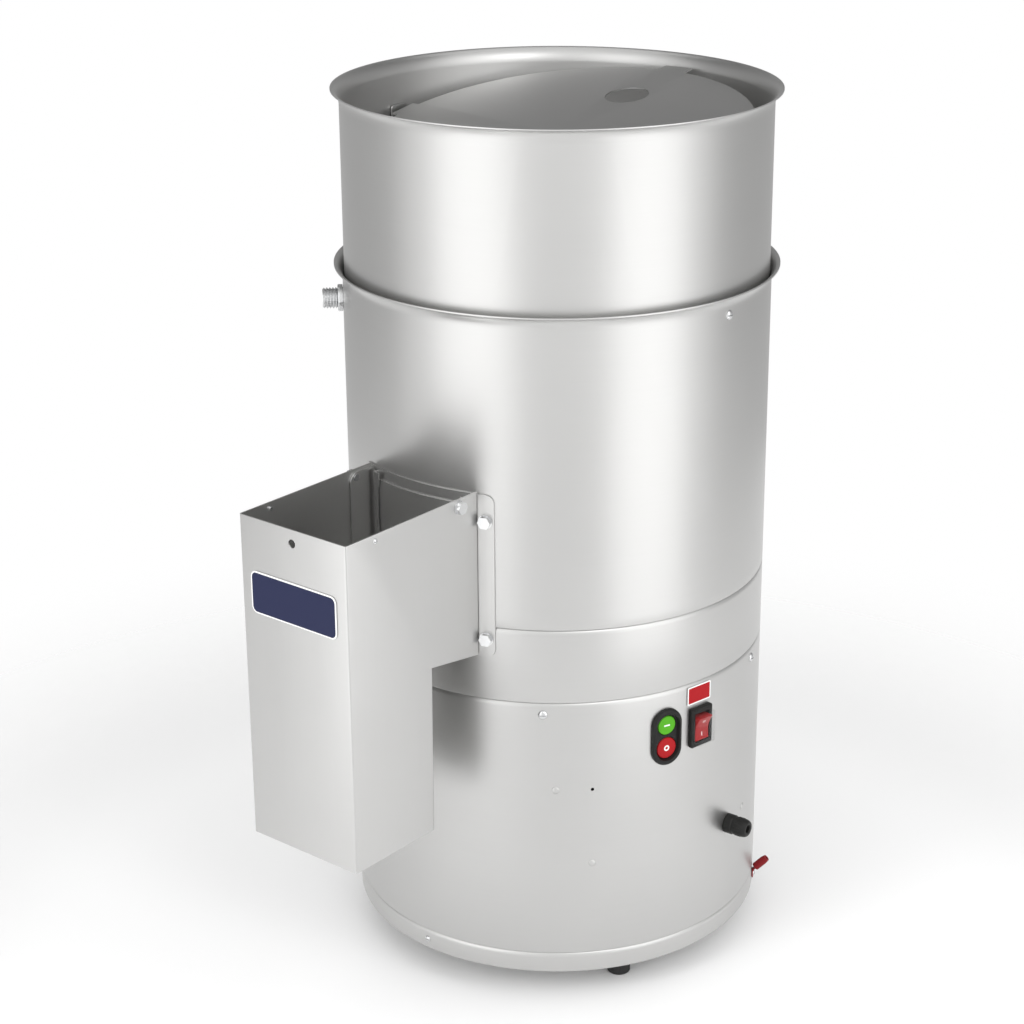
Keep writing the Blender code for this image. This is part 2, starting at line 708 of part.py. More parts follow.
def wall_screw(name, azimuth, z, head_r, lift=0.0):
    """One slotted screw through the drum's wall, its head raised by lift."""
    height = SCREW_HEAD_H * head_r / SCREW_HEAD_R
    place = on_wall(azimuth, DRUM_R + lift, z)
    bm = new_mesh()
    add_screw(bm, Matrix(), head_r, height, SCREW_SHANK_R, SCREW_REACH + lift)
    slot = new_mesh()
    add_box(slot, (-head_r - GAP, -SCREW_SLOT_W / 2.0, height - SCREW_SLOT_DEEP),
            (head_r + GAP, SCREW_SLOT_W / 2.0, height + OVERRUN), place)
    cut(make(name, BRIGHT, bm, place), slot)


def make_housing():
    profile = skirt_outside(BASE_TOP_Z) + rolled_edge(HOUSING_TOP_Z) + skirt_inside(BASE_TOP_Z)
    housing = lathe("motor_housing", STEEL, profile, segments=SHELL_SEGMENTS)
    holes = new_mesh()
    radial_holes(holes, (EARTH_AZIMUTH,), BASE_SCREW_Z, SCREW_SHANK_R + GAP)
    radial_holes(holes, (GLAND_AZIMUTH,), GLAND_Z, GLAND_THREAD_R + GAP)
    radial_holes(holes, (PANEL_HOLE_AZIMUTH,), PANEL_HOLE_Z, PANEL_HOLE_R)
    radial_holes(holes, (DRAIN_AZIMUTH,), DRAIN_Z, DRAIN_PIPE_R + GAP, segments=ROUND_SEGMENTS)
    for azimuth, z, outline in (
            (BEZEL_AZIMUTH, BEZEL_Z, pill(BEZEL_BODY_W + 2.0 * GAP, BEZEL_BODY_H + 2.0 * GAP)),
            (ROCKER_AZIMUTH, ROCKER_Z,
             rectangle(-ROCKER_BODY_W / 2.0 - GAP, -ROCKER_BODY_H / 2.0 - GAP,
                       ROCKER_BODY_W / 2.0 + GAP, ROCKER_BODY_H / 2.0 + GAP))):
        add_prism(holes, outline, -EDGE_FILLET - OVERRUN, OVERRUN, on_wall(azimuth, DRUM_R, z))
    cut(housing, holes)


FLOOR_BOTTOM_Z = CHAMBER_FLOOR_Z - CHAMBER_FLOOR_T
HUB_TOP_Z = CHAMBER_FLOOR_Z + CHAMBER_HUB_UP
SEAL_LEDGE_Z = HUB_TOP_Z - SEAL_T - 2.0 * GAP
DRAIN_Z = FLOOR_BOTTOM_Z - DRAIN_DROP


def make_chamber():
    profile = skirt_outside(HOUSING_TOP_Z) + rolled_edge(BAND_TOP_Z)
    profile += [(DRUM_R - SHEET, CHAMBER_FLOOR_Z), (CHAMBER_HUB_R, CHAMBER_FLOOR_Z),
                (CHAMBER_HUB_R - CHAMBER_FLOOR_T, HUB_TOP_Z), (SEAL_R + GAP, HUB_TOP_Z),
                (SEAL_R + GAP, SEAL_LEDGE_Z), (CHAMBER_BORE_R, SEAL_LEDGE_Z),
                (CHAMBER_BORE_R, FLOOR_BOTTOM_Z),
                (SKIRT_R - SHEET, FLOOR_BOTTOM_Z), (SKIRT_R - SHEET, HOUSING_TOP_Z - SKIRT_DROP)]
    pan = lathe("chamber_pan", STEEL, profile, segments=SHELL_SEGMENTS)
    holes = new_mesh()
    radial_holes(holes, plate_bolt_azimuths(), PLATE_BOLT_LOW_Z, BOLT_R + GAP)
    rod_bm(holes, DRAIN_R - DRAIN_WALL, -CHAMBER_FLOOR_T - OVERRUN, OVERRUN,
           round_axis(DRAIN_AZIMUTH, DRAIN_CIRCLE_R, CHAMBER_FLOOR_Z), ROUND_SEGMENTS)
    cut(pan, holes)
    lathe("shaft_seal", RUBBER, [(SHAFT_R + RUN_GAP, SEAL_LEDGE_Z + GAP), (SEAL_R, SEAL_LEDGE_Z + GAP),
                                 (SEAL_R, HUB_TOP_Z - GAP), (SHAFT_R + RUN_GAP, HUB_TOP_Z - GAP)])

    profile = skirt_outside(BAND_TOP_Z)
    profile += flare(DRUM_R, DRUM_FLARE_Z, DRUM_FLARE_R, DRUM_TOP_Z, SHEET) + skirt_inside(BAND_TOP_Z)
    shell = lathe("drum_shell", STEEL, profile, segments=SHELL_SEGMENTS)
    holes = new_mesh()
    radial_holes(holes, HOPPER_SCREW_AZIMUTHS, HOPPER_SCREW_Z, SCREW_SHANK_R + GAP)
    radial_holes(holes, (INLET_AZIMUTH,), INLET_Z, INLET_THREAD_R + GAP)
    for z in (PLATE_BOLT_LOW_Z, PLATE_BOLT_HIGH_Z):
        radial_holes(holes, plate_bolt_azimuths(), z, BOLT_R + GAP)
    add_box(holes, *window_box())
    cut(shell, holes)

    outer = DRUM_R - SHEET - GAP
    lining = lathe("abrasive_lining", GRIT,
                   tube_profile(outer, outer - LINING_T, LINING_BOTTOM_Z, LINING_TOP_Z),
                   segments=SHELL_SEGMENTS)
    holes = new_mesh()
    radial_holes(holes, plate_bolt_azimuths(), PLATE_BOLT_HIGH_Z, BOLT_R + RUN_GAP,
                 SHEET + GAP + LINING_T)
    add_box(holes, *window_box())
    cut(lining, holes)


def plate_bolt_azimuths():
    swing = math.degrees(math.asin(PLATE_BOLT_HALF_W / DRUM_R))
    return (180.0 - swing, 180.0 + swing)


def window_box():
    return ((-DRUM_R - OVERRUN, -WINDOW_W / 2.0, WINDOW_BOTTOM_Z),
            (-DRUM_R / 2.0, WINDOW_W / 2.0, WINDOW_TOP_Z))


def make_hopper():
    hopper_r = DRUM_R - SHEET - GAP
    profile = [(hopper_r, HOPPER_BOTTOM_Z)]
    profile += flare(hopper_r, HOPPER_FLARE_Z, HOPPER_RIM_R, HOPPER_TOP_Z, HOPPER_SHEET)
    profile += [(hopper_r - HOPPER_SHEET, HOPPER_BOTTOM_Z)]
    ring = lathe("hopper_ring", STEEL, profile, segments=SHELL_SEGMENTS)
    holes = new_mesh()
    radial_holes(holes, HOPPER_SCREW_AZIMUTHS, HOPPER_SCREW_Z, SCREW_SHANK_R + GAP)
    add_box(holes, (-INLET_NOTCH_HALF_W, HOPPER_BOTTOM_Z - INLET_Z - OVERRUN, -SHEET * 2.0 - OVERRUN),
            (INLET_NOTCH_HALF_W, INLET_NOTCH_HALF_W, OVERRUN), on_wall(INLET_AZIMUTH, DRUM_R, INLET_Z))
    cut(ring, holes)
    for number, azimuth in enumerate(HOPPER_SCREW_AZIMUTHS, 1):
        wall_screw("hopper_screw_%d" % number, azimuth, HOPPER_SCREW_Z, SCREW_HEAD_R)

    inner_r = (hopper_r - HOPPER_SHEET) * math.cos(math.pi / SHELL_SEGMENTS)
    plate_out = math.sqrt(inner_r ** 2 - (PIVOT_PLATE_W / 2.0) ** 2) - GAP
    pin_in = LID_EAR_Y - PIVOT_PIN_PAST_EAR
    for number, turn in enumerate((0.0, 180.0), 1):
        outward = at(z=LID_PIVOT_Z, turn=turn) @ Matrix.Rotation(math.radians(-90.0), 4, "X")
        holder = prism("lid_pivot_%d" % number, STEEL,
                       rounded(PIVOT_PLATE_W, PIVOT_PLATE_H, PIVOT_PLATE_CORNER, 2),
                       plate_out - PIVOT_PLATE_T, plate_out, outward)
        stud = new_mesh()
        rod_bm(stud, PIVOT_PIN_R, pin_in, plate_out - PIVOT_PLATE_T / 2.0, outward)
        fuse(holder, stud)


def make_lid():
    """The swinging disc, drawn level about its pivot and tilted by the empty."""
    tilt = Matrix.Rotation(math.radians(-LID_REST_TILT), 4, "Y")
    axis = pivot("lid_axis", at(z=LID_PIVOT_Z) @ tilt)
    low = LID_PLANE_UP
    high = LID_PLANE_UP + LID_SHEET
    profile = [(0.0, low), (LID_R - LID_SHEET, low), (LID_R - LID_SHEET, low - LID_RIM_DROP),
               (LID_R, low - LID_RIM_DROP), (LID_R, high - LID_SHEET / 2.0),
               (LID_R - LID_SHEET / 2.0, high), (0.0, high)]
    lid = lathe("inner_lid", STEEL, profile, parent=axis, segments=SHELL_SEGMENTS)
    half = LID_TAB_W / 2.0
    inner = LID_R - OVERRUN
    tabs = new_mesh()
    ear_out = LID_EAR_Y + LID_SHEET
    plain = rectangle(inner, low, LID_TAB_R, high)
    eared = [(inner, low), (LID_EAR_Y, low), (LID_EAR_Y, -LID_PLANE_UP), (ear_out, -LID_PLANE_UP),
             (ear_out, high), (inner, high)]
    for turn, outline in ((0.0, plain), (90.0, eared), (-90.0, eared)):
        add_prism(tabs, outline, -half, half, at(turn=turn) @ XZ_TO_WORLD)
    fuse(lid, tabs)
    holes = new_mesh()
    rod_bm(holes, LID_HOLE_R, low - OVERRUN, high + OVERRUN, at(x=LID_HOLE_X), ROUND_SEGMENTS)
    across = Matrix.Rotation(math.radians(90.0), 4, "X")
    for side in SIDES:
        near = side * (LID_EAR_Y - OVERRUN / 4.0)
        far = side * (LID_EAR_Y + OVERRUN / 2.0)
        rod_bm(holes, PIVOT_PIN_R + GAP, min(near, far), max(near, far), across)
    cut(lid, holes)


# Chute and gate

def facet_arc(radius, y0, y1):
    """The drum's own facets on the -X side at a radius, from y0 to y1."""
    corners = []
    for i in range(SHELL_SEGMENTS):
        angle = FULL_TURN * i / SHELL_SEGMENTS
        if math.cos(angle) < 0.0:
            corners.append((radius * math.cos(angle), radius * math.sin(angle)))
    corners.sort(key=lambda point: point[1])

    def on_facet(y):
        for (xa, ya), (xb, yb) in zip(corners, corners[1:]):
            if ya <= y <= yb:
                return (xa + (xb - xa) * (y - ya) / (yb - ya), y)
        return corners[0]

    low, high = min(y0, y1), max(y0, y1)
    points = [on_facet(low)] + [c for c in corners if low < c[1] < high] + [on_facet(high)]
    return points if y1 > y0 else points[::-1]


def curved_plate(inner, outer, y0, y1):
    """The outline of a plate that follows the drum's wall."""
    return facet_arc(outer, y0, y1) + facet_arc(inner, y1, y0)


NECK_HALF_OUT = BOX_HALF_W - BOX_SHEET - GAP
PLATE_IN_R = DRUM_R + GAP
PLATE_OUT_R = PLATE_IN_R + BOX_SHEET
GATE_IN_R = PLATE_OUT_R + GAP
GATE_OUT_R = GATE_IN_R + GATE_T
RAIL_COVER_R = GATE_OUT_R + RUN_GAP
RAIL_OUT_R = RAIL_COVER_R + RAIL_T
XZ_TO_WORLD = Matrix(((1, 0, 0, 0), (0, 0, -1, 0), (0, 1, 0, 0), (0, 0, 0, 1)))


def across_y(bm, outline, y0, y1):
    """Stands an (x, z) outline across the machine, from y0 to y1."""
    add_prism(bm, outline, -max(y0, y1), -min(y0, y1), XZ_TO_WORLD)


def make_chute_neck():
    inner = NECK_HALF_OUT - BOX_SHEET
    plate_mid = (NECK_TOP_Z + NECK_PLATE_BOTTOM_Z) / 2.0
    plate_h = NECK_TOP_Z - NECK_PLATE_BOTTOM_Z
    neck = prism("chute_neck", STEEL,
                 curved_plate(PLATE_IN_R, PLATE_OUT_R, -NECK_PLATE_HALF_W - OVERRUN,
                              NECK_PLATE_HALF_W + OVERRUN),
                 NECK_PLATE_BOTTOM_Z - OVERRUN, NECK_TOP_Z + OVERRUN)
    blank = new_mesh()
    face_on = at(z=plate_mid) @ Matrix.Rotation(math.radians(180.0), 4, "Z") @ sideways()
    add_prism(blank, rounded(2.0 * NECK_PLATE_HALF_W, plate_h, PLATE_CORNER_R),
              DRUM_R / 2.0, PLATE_OUT_R + OVERRUN, face_on)
    keep(neck, blank)

    buried = -math.sqrt(DRUM_R ** 2 - NECK_HALF_OUT ** 2) + OVERRUN
    cheek = [(NECK_FRONT_X, NECK_FLOOR_FRONT_Z), (buried, NECK_FLOOR_BACK_Z), (buried, NECK_TOP_Z)]
    cheek += arc(NECK_FRONT_X + NECK_CORNER_R, NECK_TOP_Z - NECK_CORNER_R, NECK_CORNER_R,
                 90.0, 180.0, FILLET_STEPS)
    cheeks = new_mesh()
    for side in SIDES:
        across_y(cheeks, cheek, side * inner, side * NECK_HALF_OUT)
    fuse(neck, cheeks)
    floor = new_mesh()
    lip_x = BOX_REAR_X + GAP
    across_y(floor, [(lip_x, NECK_FLOOR_FRONT_Z + GAP), (buried, NECK_FLOOR_BACK_Z),
                     (buried, NECK_FLOOR_BACK_Z + BOX_SHEET),
                     (lip_x, NECK_FLOOR_FRONT_Z + GAP + BOX_SHEET)],
             -NECK_HALF_OUT, NECK_HALF_OUT)
    fuse(neck, floor).modifiers[-1].name = "floor"
    rails = new_mesh()
    slot = GATE_HALF_W + RUN_GAP
    edge = GATE_HALF_W - RAIL_COVER
    for side in SIDES:
        outline = facet_arc(RAIL_OUT_R, side * edge, side * RAIL_HALF_W)
        outline += facet_arc(PLATE_OUT_R - BOX_SHEET / 2.0, side * RAIL_HALF_W, side * slot)
        outline += facet_arc(RAIL_COVER_R, side * slot, side * edge)
        add_prism(rails, outline, RAIL_BOTTOM_Z, RAIL_TOP_Z)
    fuse(neck, rails).modifiers[-1].name = "rails"

    holes = new_mesh()
    rod_bm(holes, PLATE_IN_R, NECK_PLATE_BOTTOM_Z - 2.0 * OVERRUN, NECK_TOP_Z + 2.0 * OVERRUN,
           Matrix(), SHELL_SEGMENTS)
    cut(neck, holes)
    holes = new_mesh()
    for z in (PLATE_BOLT_LOW_Z, PLATE_BOLT_HIGH_Z):
        for azimuth in plate_bolt_azimuths():
            rod_bm(holes, BOLT_R + GAP, -OVERRUN, OVERRUN, on_wall(azimuth, PLATE_OUT_R, z))
    add_box(holes, *window_box())
    for place in wall_bolt_places():
        rod_bm(holes, BOLT_R + GAP, -OVERRUN, OVERRUN, place)
    cut(neck, holes).modifiers[-1].name = "holes"


def side_places(x, drop):
    """Places on the box's side walls, this far below its top: local +Z outward."""
    places = []
    for side in SIDES:
        spot = Matrix.Translation((x, side * BOX_HALF_W, BOX_TOP_Z - drop))
        places.append(spot @ Matrix.Rotation(math.radians(-side * QUARTER_DEG), 4, "X"))
    return places


def wall_bolt_places():
    return side_places(WALL_BOLT_X, WALL_BOLT_DROP)


def make_chute_box():
    end_x = -math.sqrt(PLATE_OUT_R ** 2 - BOX_HALF_W ** 2) - SHEET
    slope = (NECK_FLOOR_BACK_Z - BOX_WALL_BOTTOM_Z) / (end_x - BOX_REAR_X)
    end_z = BOX_WALL_BOTTOM_Z + slope * (end_x - BOX_REAR_X)
    outline = [(BOX_FRONT_X, BOX_BOTTOM_Z), (BOX_REAR_X, BOX_BOTTOM_Z),
               (BOX_REAR_X, BOX_WALL_BOTTOM_Z), (end_x, end_z), (end_x, BOX_TOP_Z),
               (BOX_FRONT_X, BOX_TOP_Z)]
    solid = new_mesh()
    across_y(solid, outline, -BOX_HALF_W, BOX_HALF_W)
    box = make("chute_box", STEEL, solid)
    front = BOX_FRONT_X + BOX_SHEET
    rear = BOX_REAR_X - BOX_SHEET
    hollow = new_mesh()
    across_y(hollow, [(front, BOX_BOTTOM_Z - OVERRUN), (rear, BOX_BOTTOM_Z - OVERRUN),
                      (rear, BOX_WALL_BOTTOM_Z), (BOX_REAR_X + OVERRUN, BOX_WALL_BOTTOM_Z - 2.0 * OVERRUN),
                      (end_x + OVERRUN, end_z - 2.0 * OVERRUN), (end_x + OVERRUN, BOX_TOP_Z + OVERRUN),
                      (front, BOX_TOP_Z + OVERRUN)],
             -BOX_HALF_W + BOX_SHEET, BOX_HALF_W - BOX_SHEET)
    cut(box, hollow)
    holes = new_mesh()
    hole_z = BOX_TOP_Z - BOX_FRONT_HOLE_DROP
    rod_bm(holes, BOX_FRONT_HOLE_R, -OVERRUN, OVERRUN, on_wall(180.0, -BOX_FRONT_X, hole_z))
    for place in wall_bolt_places():
        rod_bm(holes, BOLT_R + GAP, -OVERRUN, OVERRUN, place)
    for place in side_places(WALL_SCREW_X, WALL_SCREW_DROP):
        rod_bm(holes, RIVET_SHANK_R + GAP, -OVERRUN, OVERRUN, place)
    cut(box, holes).modifiers[-1].name = "holes"

    for number, place in enumerate(wall_bolt_places(), 1):
        hex_bolt("chute_wall_bolt_%d" % number, place, BOLT_REACH)
    spots = [(azimuth, z) for z in (PLATE_BOLT_LOW_Z, PLATE_BOLT_HIGH_Z)
             for azimuth in plate_bolt_azimuths()]
    for number, (azimuth, z) in enumerate(spots, 1):
        hex_bolt("chute_plate_bolt_%d" % number, on_wall(azimuth, PLATE_OUT_R, z), PLATE_BOLT_REACH)

    plate_z = BOX_TOP_Z - NAME_PLATE_DROP - NAME_PLATE_H / 2.0
    prism("name_plate", NAVY, rounded(NAME_PLATE_W, NAME_PLATE_H, NAME_PLATE_CORNER),
          GAP, GAP + NAME_PLATE_T, on_wall(180.0, -BOX_FRONT_X, plate_z))


PLATE_BOLT_REACH = PLATE_OUT_R - (SKIRT_R - SHEET) + GAP


def make_gate():
    gate = prism("discharge_gate", STEEL,
                 curved_plate(GATE_IN_R, GATE_OUT_R, -GATE_HALF_W, GATE_HALF_W),
                 GATE_BOTTOM_Z, GATE_TOP_Z, parent=pivot("gate_slide_start", Matrix()))
    lip = new_mesh()
    lip_outline = facet_arc(GATE_IN_R + GATE_T / 2.0, GATE_LIP_HALF_W, -GATE_LIP_HALF_W)
    lip_outline += [(-GATE_OUT_R - GATE_LIP_OUT, -GATE_LIP_HALF_W),
                    (-GATE_OUT_R - GATE_LIP_OUT, GATE_LIP_HALF_W)]
    add_prism(lip, lip_outline, GATE_LIP_Z, GATE_LIP_Z + GATE_LIP_T)
    fuse(gate, lip)


# Disc, shaft and bearings

def make_disc_group():
    axis = pivot("disc_axis", Matrix())
    bottom = DISC_TOP_Z - DISC_T
    hub_bottom = bottom - DISC_HUB_DROP
    bore = SHAFT_TOP_R + GAP
    profile = [(bore, hub_bottom), (DISC_HUB_R, hub_bottom), (DISC_HUB_R, bottom), (DISC_R, bottom),
               (DISC_R, DISC_TOP_Z + DISC_RIM_UP), (DISC_R - DISC_RIM_UP, DISC_TOP_Z + DISC_RIM_UP),
               (DISC_R - 3.0 * DISC_RIM_UP, DISC_TOP_Z), (bore, DISC_TOP_Z)]
    disc = lathe("abrasive_disc", GRIT, profile, parent=axis, segments=SHELL_SEGMENTS)
    waves = new_mesh()
    half = DISC_WAVE_W / 2.0
    crest = half * DISC_WAVE_TOP_SHARE
    ridge = [(-half, DISC_TOP_Z - GAP), (half, DISC_TOP_Z - GAP), (crest, DISC_TOP_Z + DISC_WAVE_UP),
             (-crest, DISC_TOP_Z + DISC_WAVE_UP)]
    for azimuth in spread(DISC_WAVES):
        add_prism(waves, ridge, DISC_HUB_R + DISC_WAVE_W / 2.0, DISC_R - 4.0 * DISC_RIM_UP,
                  at(turn=azimuth) @ sideways())
    fuse(disc, waves)

    lathe("drive_shaft", BRIGHT,
          [(0.0, SHAFT_BOTTOM_Z), (SHAFT_R, SHAFT_BOTTOM_Z), (SHAFT_R, hub_bottom - GAP),
           (SHAFT_TOP_R, hub_bottom - GAP), (SHAFT_TOP_R, SHAFT_TOP_Z), (0.0, SHAFT_TOP_Z)], parent=axis)
    seat = DISC_TOP_Z + GAP
    profile = [(0.0, SHAFT_TOP_Z + RUN_GAP), (bore, SHAFT_TOP_Z + RUN_GAP), (bore, seat), (CAP_R, seat)]
    profile += [(CAP_R * out, seat + CAP_H * up) for out, up in CAP_SHARES]
    lathe("disc_cap_nut", BRIGHT, profile, parent=axis)

    pulley = lathe("driven_pulley", CAST, grooved(DRIVEN_R, PULLEY_WEB_OUTER_R, SHAFT_R + GAP),
                   parent=axis, segments=PULLEY_SEGMENTS)
    windows = new_mesh()
    for azimuth in spread(PULLEY_WINDOW_COUNT):
        rod_bm(windows, PULLEY_WINDOW_R, PULLEY_Z - PULLEY_T, PULLEY_Z + PULLEY_T,
               round_axis(azimuth, PULLEY_WINDOW_CIRCLE_R, 0.0))
    cut(pulley, windows)


def groove(rim_r):
    """The V groove of a pulley, from its low side to its high side."""
    slope = (BELT_TOP_W - BELT_BOTTOM_W) / 2.0 / BELT_DEPTH
    rim_half = BELT_TOP_W / 2.0 - slope * BELT_PROUD + GAP
    root_r = rim_r + BELT_PROUD - BELT_DEPTH - GAP
    root_half = BELT_BOTTOM_W / 2.0 + GAP
    return [(rim_r, PULLEY_Z - rim_half), (root_r, PULLEY_Z - root_half),
            (root_r, PULLEY_Z + root_half), (rim_r, PULLEY_Z + rim_half)]


def grooved(rim_r, web_r, bore_r):
    """A webbed pulley's outline with its hub on the upper side."""
    low = PULLEY_Z - PULLEY_T / 2.0
    high = PULLEY_Z + PULLEY_T / 2.0
    web = PULLEY_WEB_T / 2.0
    profile = [(bore_r, low), (PULLEY_HUB_R, low), (PULLEY_HUB_R, PULLEY_Z - web),
               (web_r, PULLEY_Z - web), (web_r, low), (rim_r, low)]
    profile += groove(rim_r)
    profile += [(rim_r, high), (web_r, high), (web_r, PULLEY_Z + web), (PULLEY_HUB_R, PULLEY_Z + web),
                (PULLEY_HUB_R, high + PULLEY_HUB_UP), (bore_r, high + PULLEY_HUB_UP)]
    return profile


def make_bearings():
    flange_top = FLOOR_BOTTOM_Z - GAP
    flange_low = flange_top - BEARING_FLANGE_T
    seat_r = BEARING_R + GAP
    lip_r = BEARING_R - BEARING_BORE_LIP
    upper_low = flange_top - BEARING_T
    lower_high = BEARING_HOUSING_BOTTOM_Z + BEARING_BORE_LIP + BEARING_T
    lathe("bearing_housing", CAST,
          [(BEARING_HOUSING_R, BEARING_HOUSING_BOTTOM_Z), (BEARING_HOUSING_R, flange_low),
           (BEARING_FLANGE_R, flange_low), (BEARING_FLANGE_R, flange_top),
           (seat_r, flange_top), (seat_r, upper_low - GAP), (lip_r, upper_low - GAP),
           (lip_r, lower_high + GAP), (seat_r, lower_high + GAP),
           (seat_r, BEARING_HOUSING_BOTTOM_Z)])
    for name, low in (("upper_bearing", upper_low), ("lower_bearing", lower_high - BEARING_T)):
        high = low + BEARING_T
        lathe(name, BRIGHT, tube_profile(BEARING_R, SHAFT_R + GAP, low, high - GAP))


# Belt and motor

def motor_place(z=0.0):
    return round_axis(MOTOR_AZIMUTH, MOTOR_OFFSET, z)


def loop_outline(big_r, small_r):
    """The path round both pulleys, in the frame where the motor lies along +X."""
    lean = math.degrees(math.acos((big_r - small_r) / MOTOR_OFFSET))
    steps = BELT_SEGMENTS
    around = arc(0.0, 0.0, big_r, lean, 360.0 - lean, steps)
    return around + arc(MOTOR_OFFSET, 0.0, small_r, -lean, lean, ROUND_SEGMENTS // 2)


def make_belt():
    out_big = DRIVEN_R + BELT_PROUD
    out_small = MOTOR_PULLEY_R + BELT_PROUD
    outer = loop_outline(out_big, out_small)
    inner = loop_outline(out_big - BELT_DEPTH, out_small - BELT_DEPTH)
    top = BELT_TOP_W / 2.0
    root_half = BELT_BOTTOM_W / 2.0
    bm = new_mesh()
    sections = []
    for (ox, oy), (ix, iy) in zip(outer, inner):
        sections.append([bm.verts.new((ox, oy, PULLEY_Z - top)), bm.verts.new((ox, oy, PULLEY_Z + top)),
                         bm.verts.new((ix, iy, PULLEY_Z + root_half)),
                         bm.verts.new((ix, iy, PULLEY_Z - root_half))])
    for here, there in zip(sections, sections[1:] + sections[:1]):
        for i in range(4):
            j = (i + 1) % 4
            bm.faces.new((here[i], here[j], there[j], there[i]))
    make("drive_belt", RUBBER, bm, at(turn=MOTOR_AZIMUTH))


BELL_LOW_Z = MOTOR_BODY_BOTTOM_Z - GAP - BELL_T
PLATE_TOP_Z = BELL_LOW_Z - GAP
PLATE_LOW_Z = PLATE_TOP_Z - PLATE_T
BELL_TOP_Z = MOTOR_BODY_TOP_Z + GAP + BELL_T
FAN_LOW_Z = BELL_TOP_Z + FAN_CLEAR_Z
COVER_TOP_Z = BELL_TOP_Z + GAP + FAN_COVER_H


def post_places():
    """The plate's four posts, on the base floor."""
    spots = [(PLATE_INNER_X + POST_INSET, PLATE_INNER_Y - POST_INSET),
             (PLATE_OUTER_X - POST_INSET, PLATE_OUTER_Y - POST_INSET)]
    places = []
    for x, y in spots:
        for side in SIDES:
            places.append(at(turn=MOTOR_AZIMUTH) @ at(x, side * y))
    return places


def make_motor_stand():
    """The plate that carries the motor, welded on four posts that stand on the base."""
    stand = prism("motor_stand", DARK_STEEL,
                  [(PLATE_INNER_X, -PLATE_INNER_Y), (PLATE_OUTER_X, -PLATE_OUTER_Y),
                   (PLATE_OUTER_X, PLATE_OUTER_Y), (PLATE_INNER_X, PLATE_INNER_Y)],
                  PLATE_LOW_Z, PLATE_TOP_Z, at(turn=MOTOR_AZIMUTH))
    posts = new_mesh()
    low = FLOOR_THICK + GAP
    for place in post_places():
        add_lathe(posts, [(0.0, GAP), (POST_SCREW_R, GAP), (POST_SCREW_R, low), (POST_R, low),
                          (POST_R, PLATE_LOW_Z + PLATE_T / 2.0), (0.0, PLATE_LOW_Z + PLATE_T / 2.0)],
                  place, SMALL_SEGMENTS)
    fuse(stand, posts)
    holes = new_mesh()
    rod_bm(holes, PULLEY_HUB_R, PLATE_LOW_Z - OVERRUN, PLATE_TOP_Z + OVERRUN, motor_place(),
           ROUND_SEGMENTS)
    cut(stand, holes)


def make_motor():
    outline = []
    rib_half = MOTOR_RIB_W / 2.0 / MOTOR_R
    pitch = FULL_TURN / MOTOR_RIB_COUNT
    for i in range(MOTOR_RIB_COUNT):
        middle = pitch * i
        for angle, radius in ((middle - rib_half, MOTOR_R), (middle - rib_half, MOTOR_R + MOTOR_RIB_UP),
                              (middle + rib_half, MOTOR_R + MOTOR_RIB_UP), (middle + rib_half, MOTOR_R)):
            outline.append((radius * math.cos(angle), radius * math.sin(angle)))
    body = prism("motor_body", MOTOR_GREY, outline, MOTOR_BODY_BOTTOM_Z, MOTOR_BODY_TOP_Z, motor_place())
    hollow = new_mesh()
    rod_bm(hollow, MOTOR_R - MOTOR_SHELL_T, MOTOR_BODY_BOTTOM_Z - OVERRUN, MOTOR_BODY_TOP_Z + OVERRUN,
           motor_place(), ROUND_SEGMENTS)
    cut(body, hollow)

    bore = ROTOR_R + RUN_GAP
    stator_out = (MOTOR_R - MOTOR_SHELL_T) * math.cos(math.pi / ROUND_SEGMENTS) - GAP
    core_low = (MOTOR_BODY_BOTTOM_Z + MOTOR_BODY_TOP_Z - ROTOR_CORE_T) / 2.0
    core_high = core_low + ROTOR_CORE_T
    lathe("stator", DARK_STEEL, tube_profile(stator_out, ROTOR_CORE_R + RUN_GAP, core_low, core_high),
          motor_place())
    lathe("lower_end_bell", CAST,
          [(bore, BELL_LOW_Z), (MOTOR_R, BELL_LOW_Z), (MOTOR_R, BELL_LOW_Z + BELL_STEP),
           (MOTOR_R, BELL_LOW_Z + BELL_T), (bore, BELL_LOW_Z + BELL_T)], motor_place())
    upper = MOTOR_BODY_TOP_Z + GAP
    lathe("upper_end_bell", CAST,
          [(bore, upper), (MOTOR_R, upper), (MOTOR_R, upper + BELL_STEP),
           (MOTOR_R - BELL_STEP, upper + BELL_T), (bore, upper + BELL_T)], motor_place())

    cover_in = MOTOR_R - BELL_STEP - 2.0 * SHEET
    seat = BELL_TOP_Z + GAP
    cover = lathe("fan_cover", DARK_STEEL,
                  [(0.0, COVER_TOP_Z), (0.0, COVER_TOP_Z - SHEET), (cover_in, COVER_TOP_Z - SHEET),
                   (cover_in, seat), (cover_in + SHEET, seat), (cover_in + SHEET, COVER_TOP_Z)],
                  motor_place())
    slots = new_mesh()
    for azimuth in spread(FAN_SLOT_COUNT):
        add_box(slots, (FAN_HUB_R, -FAN_SLOT_W / 2.0, -SHEET - OVERRUN),
                (FAN_HUB_R + FAN_SLOT_LONG, FAN_SLOT_W / 2.0, OVERRUN),
                motor_place(COVER_TOP_Z) @ at(turn=azimuth))
    cut(cover, slots)


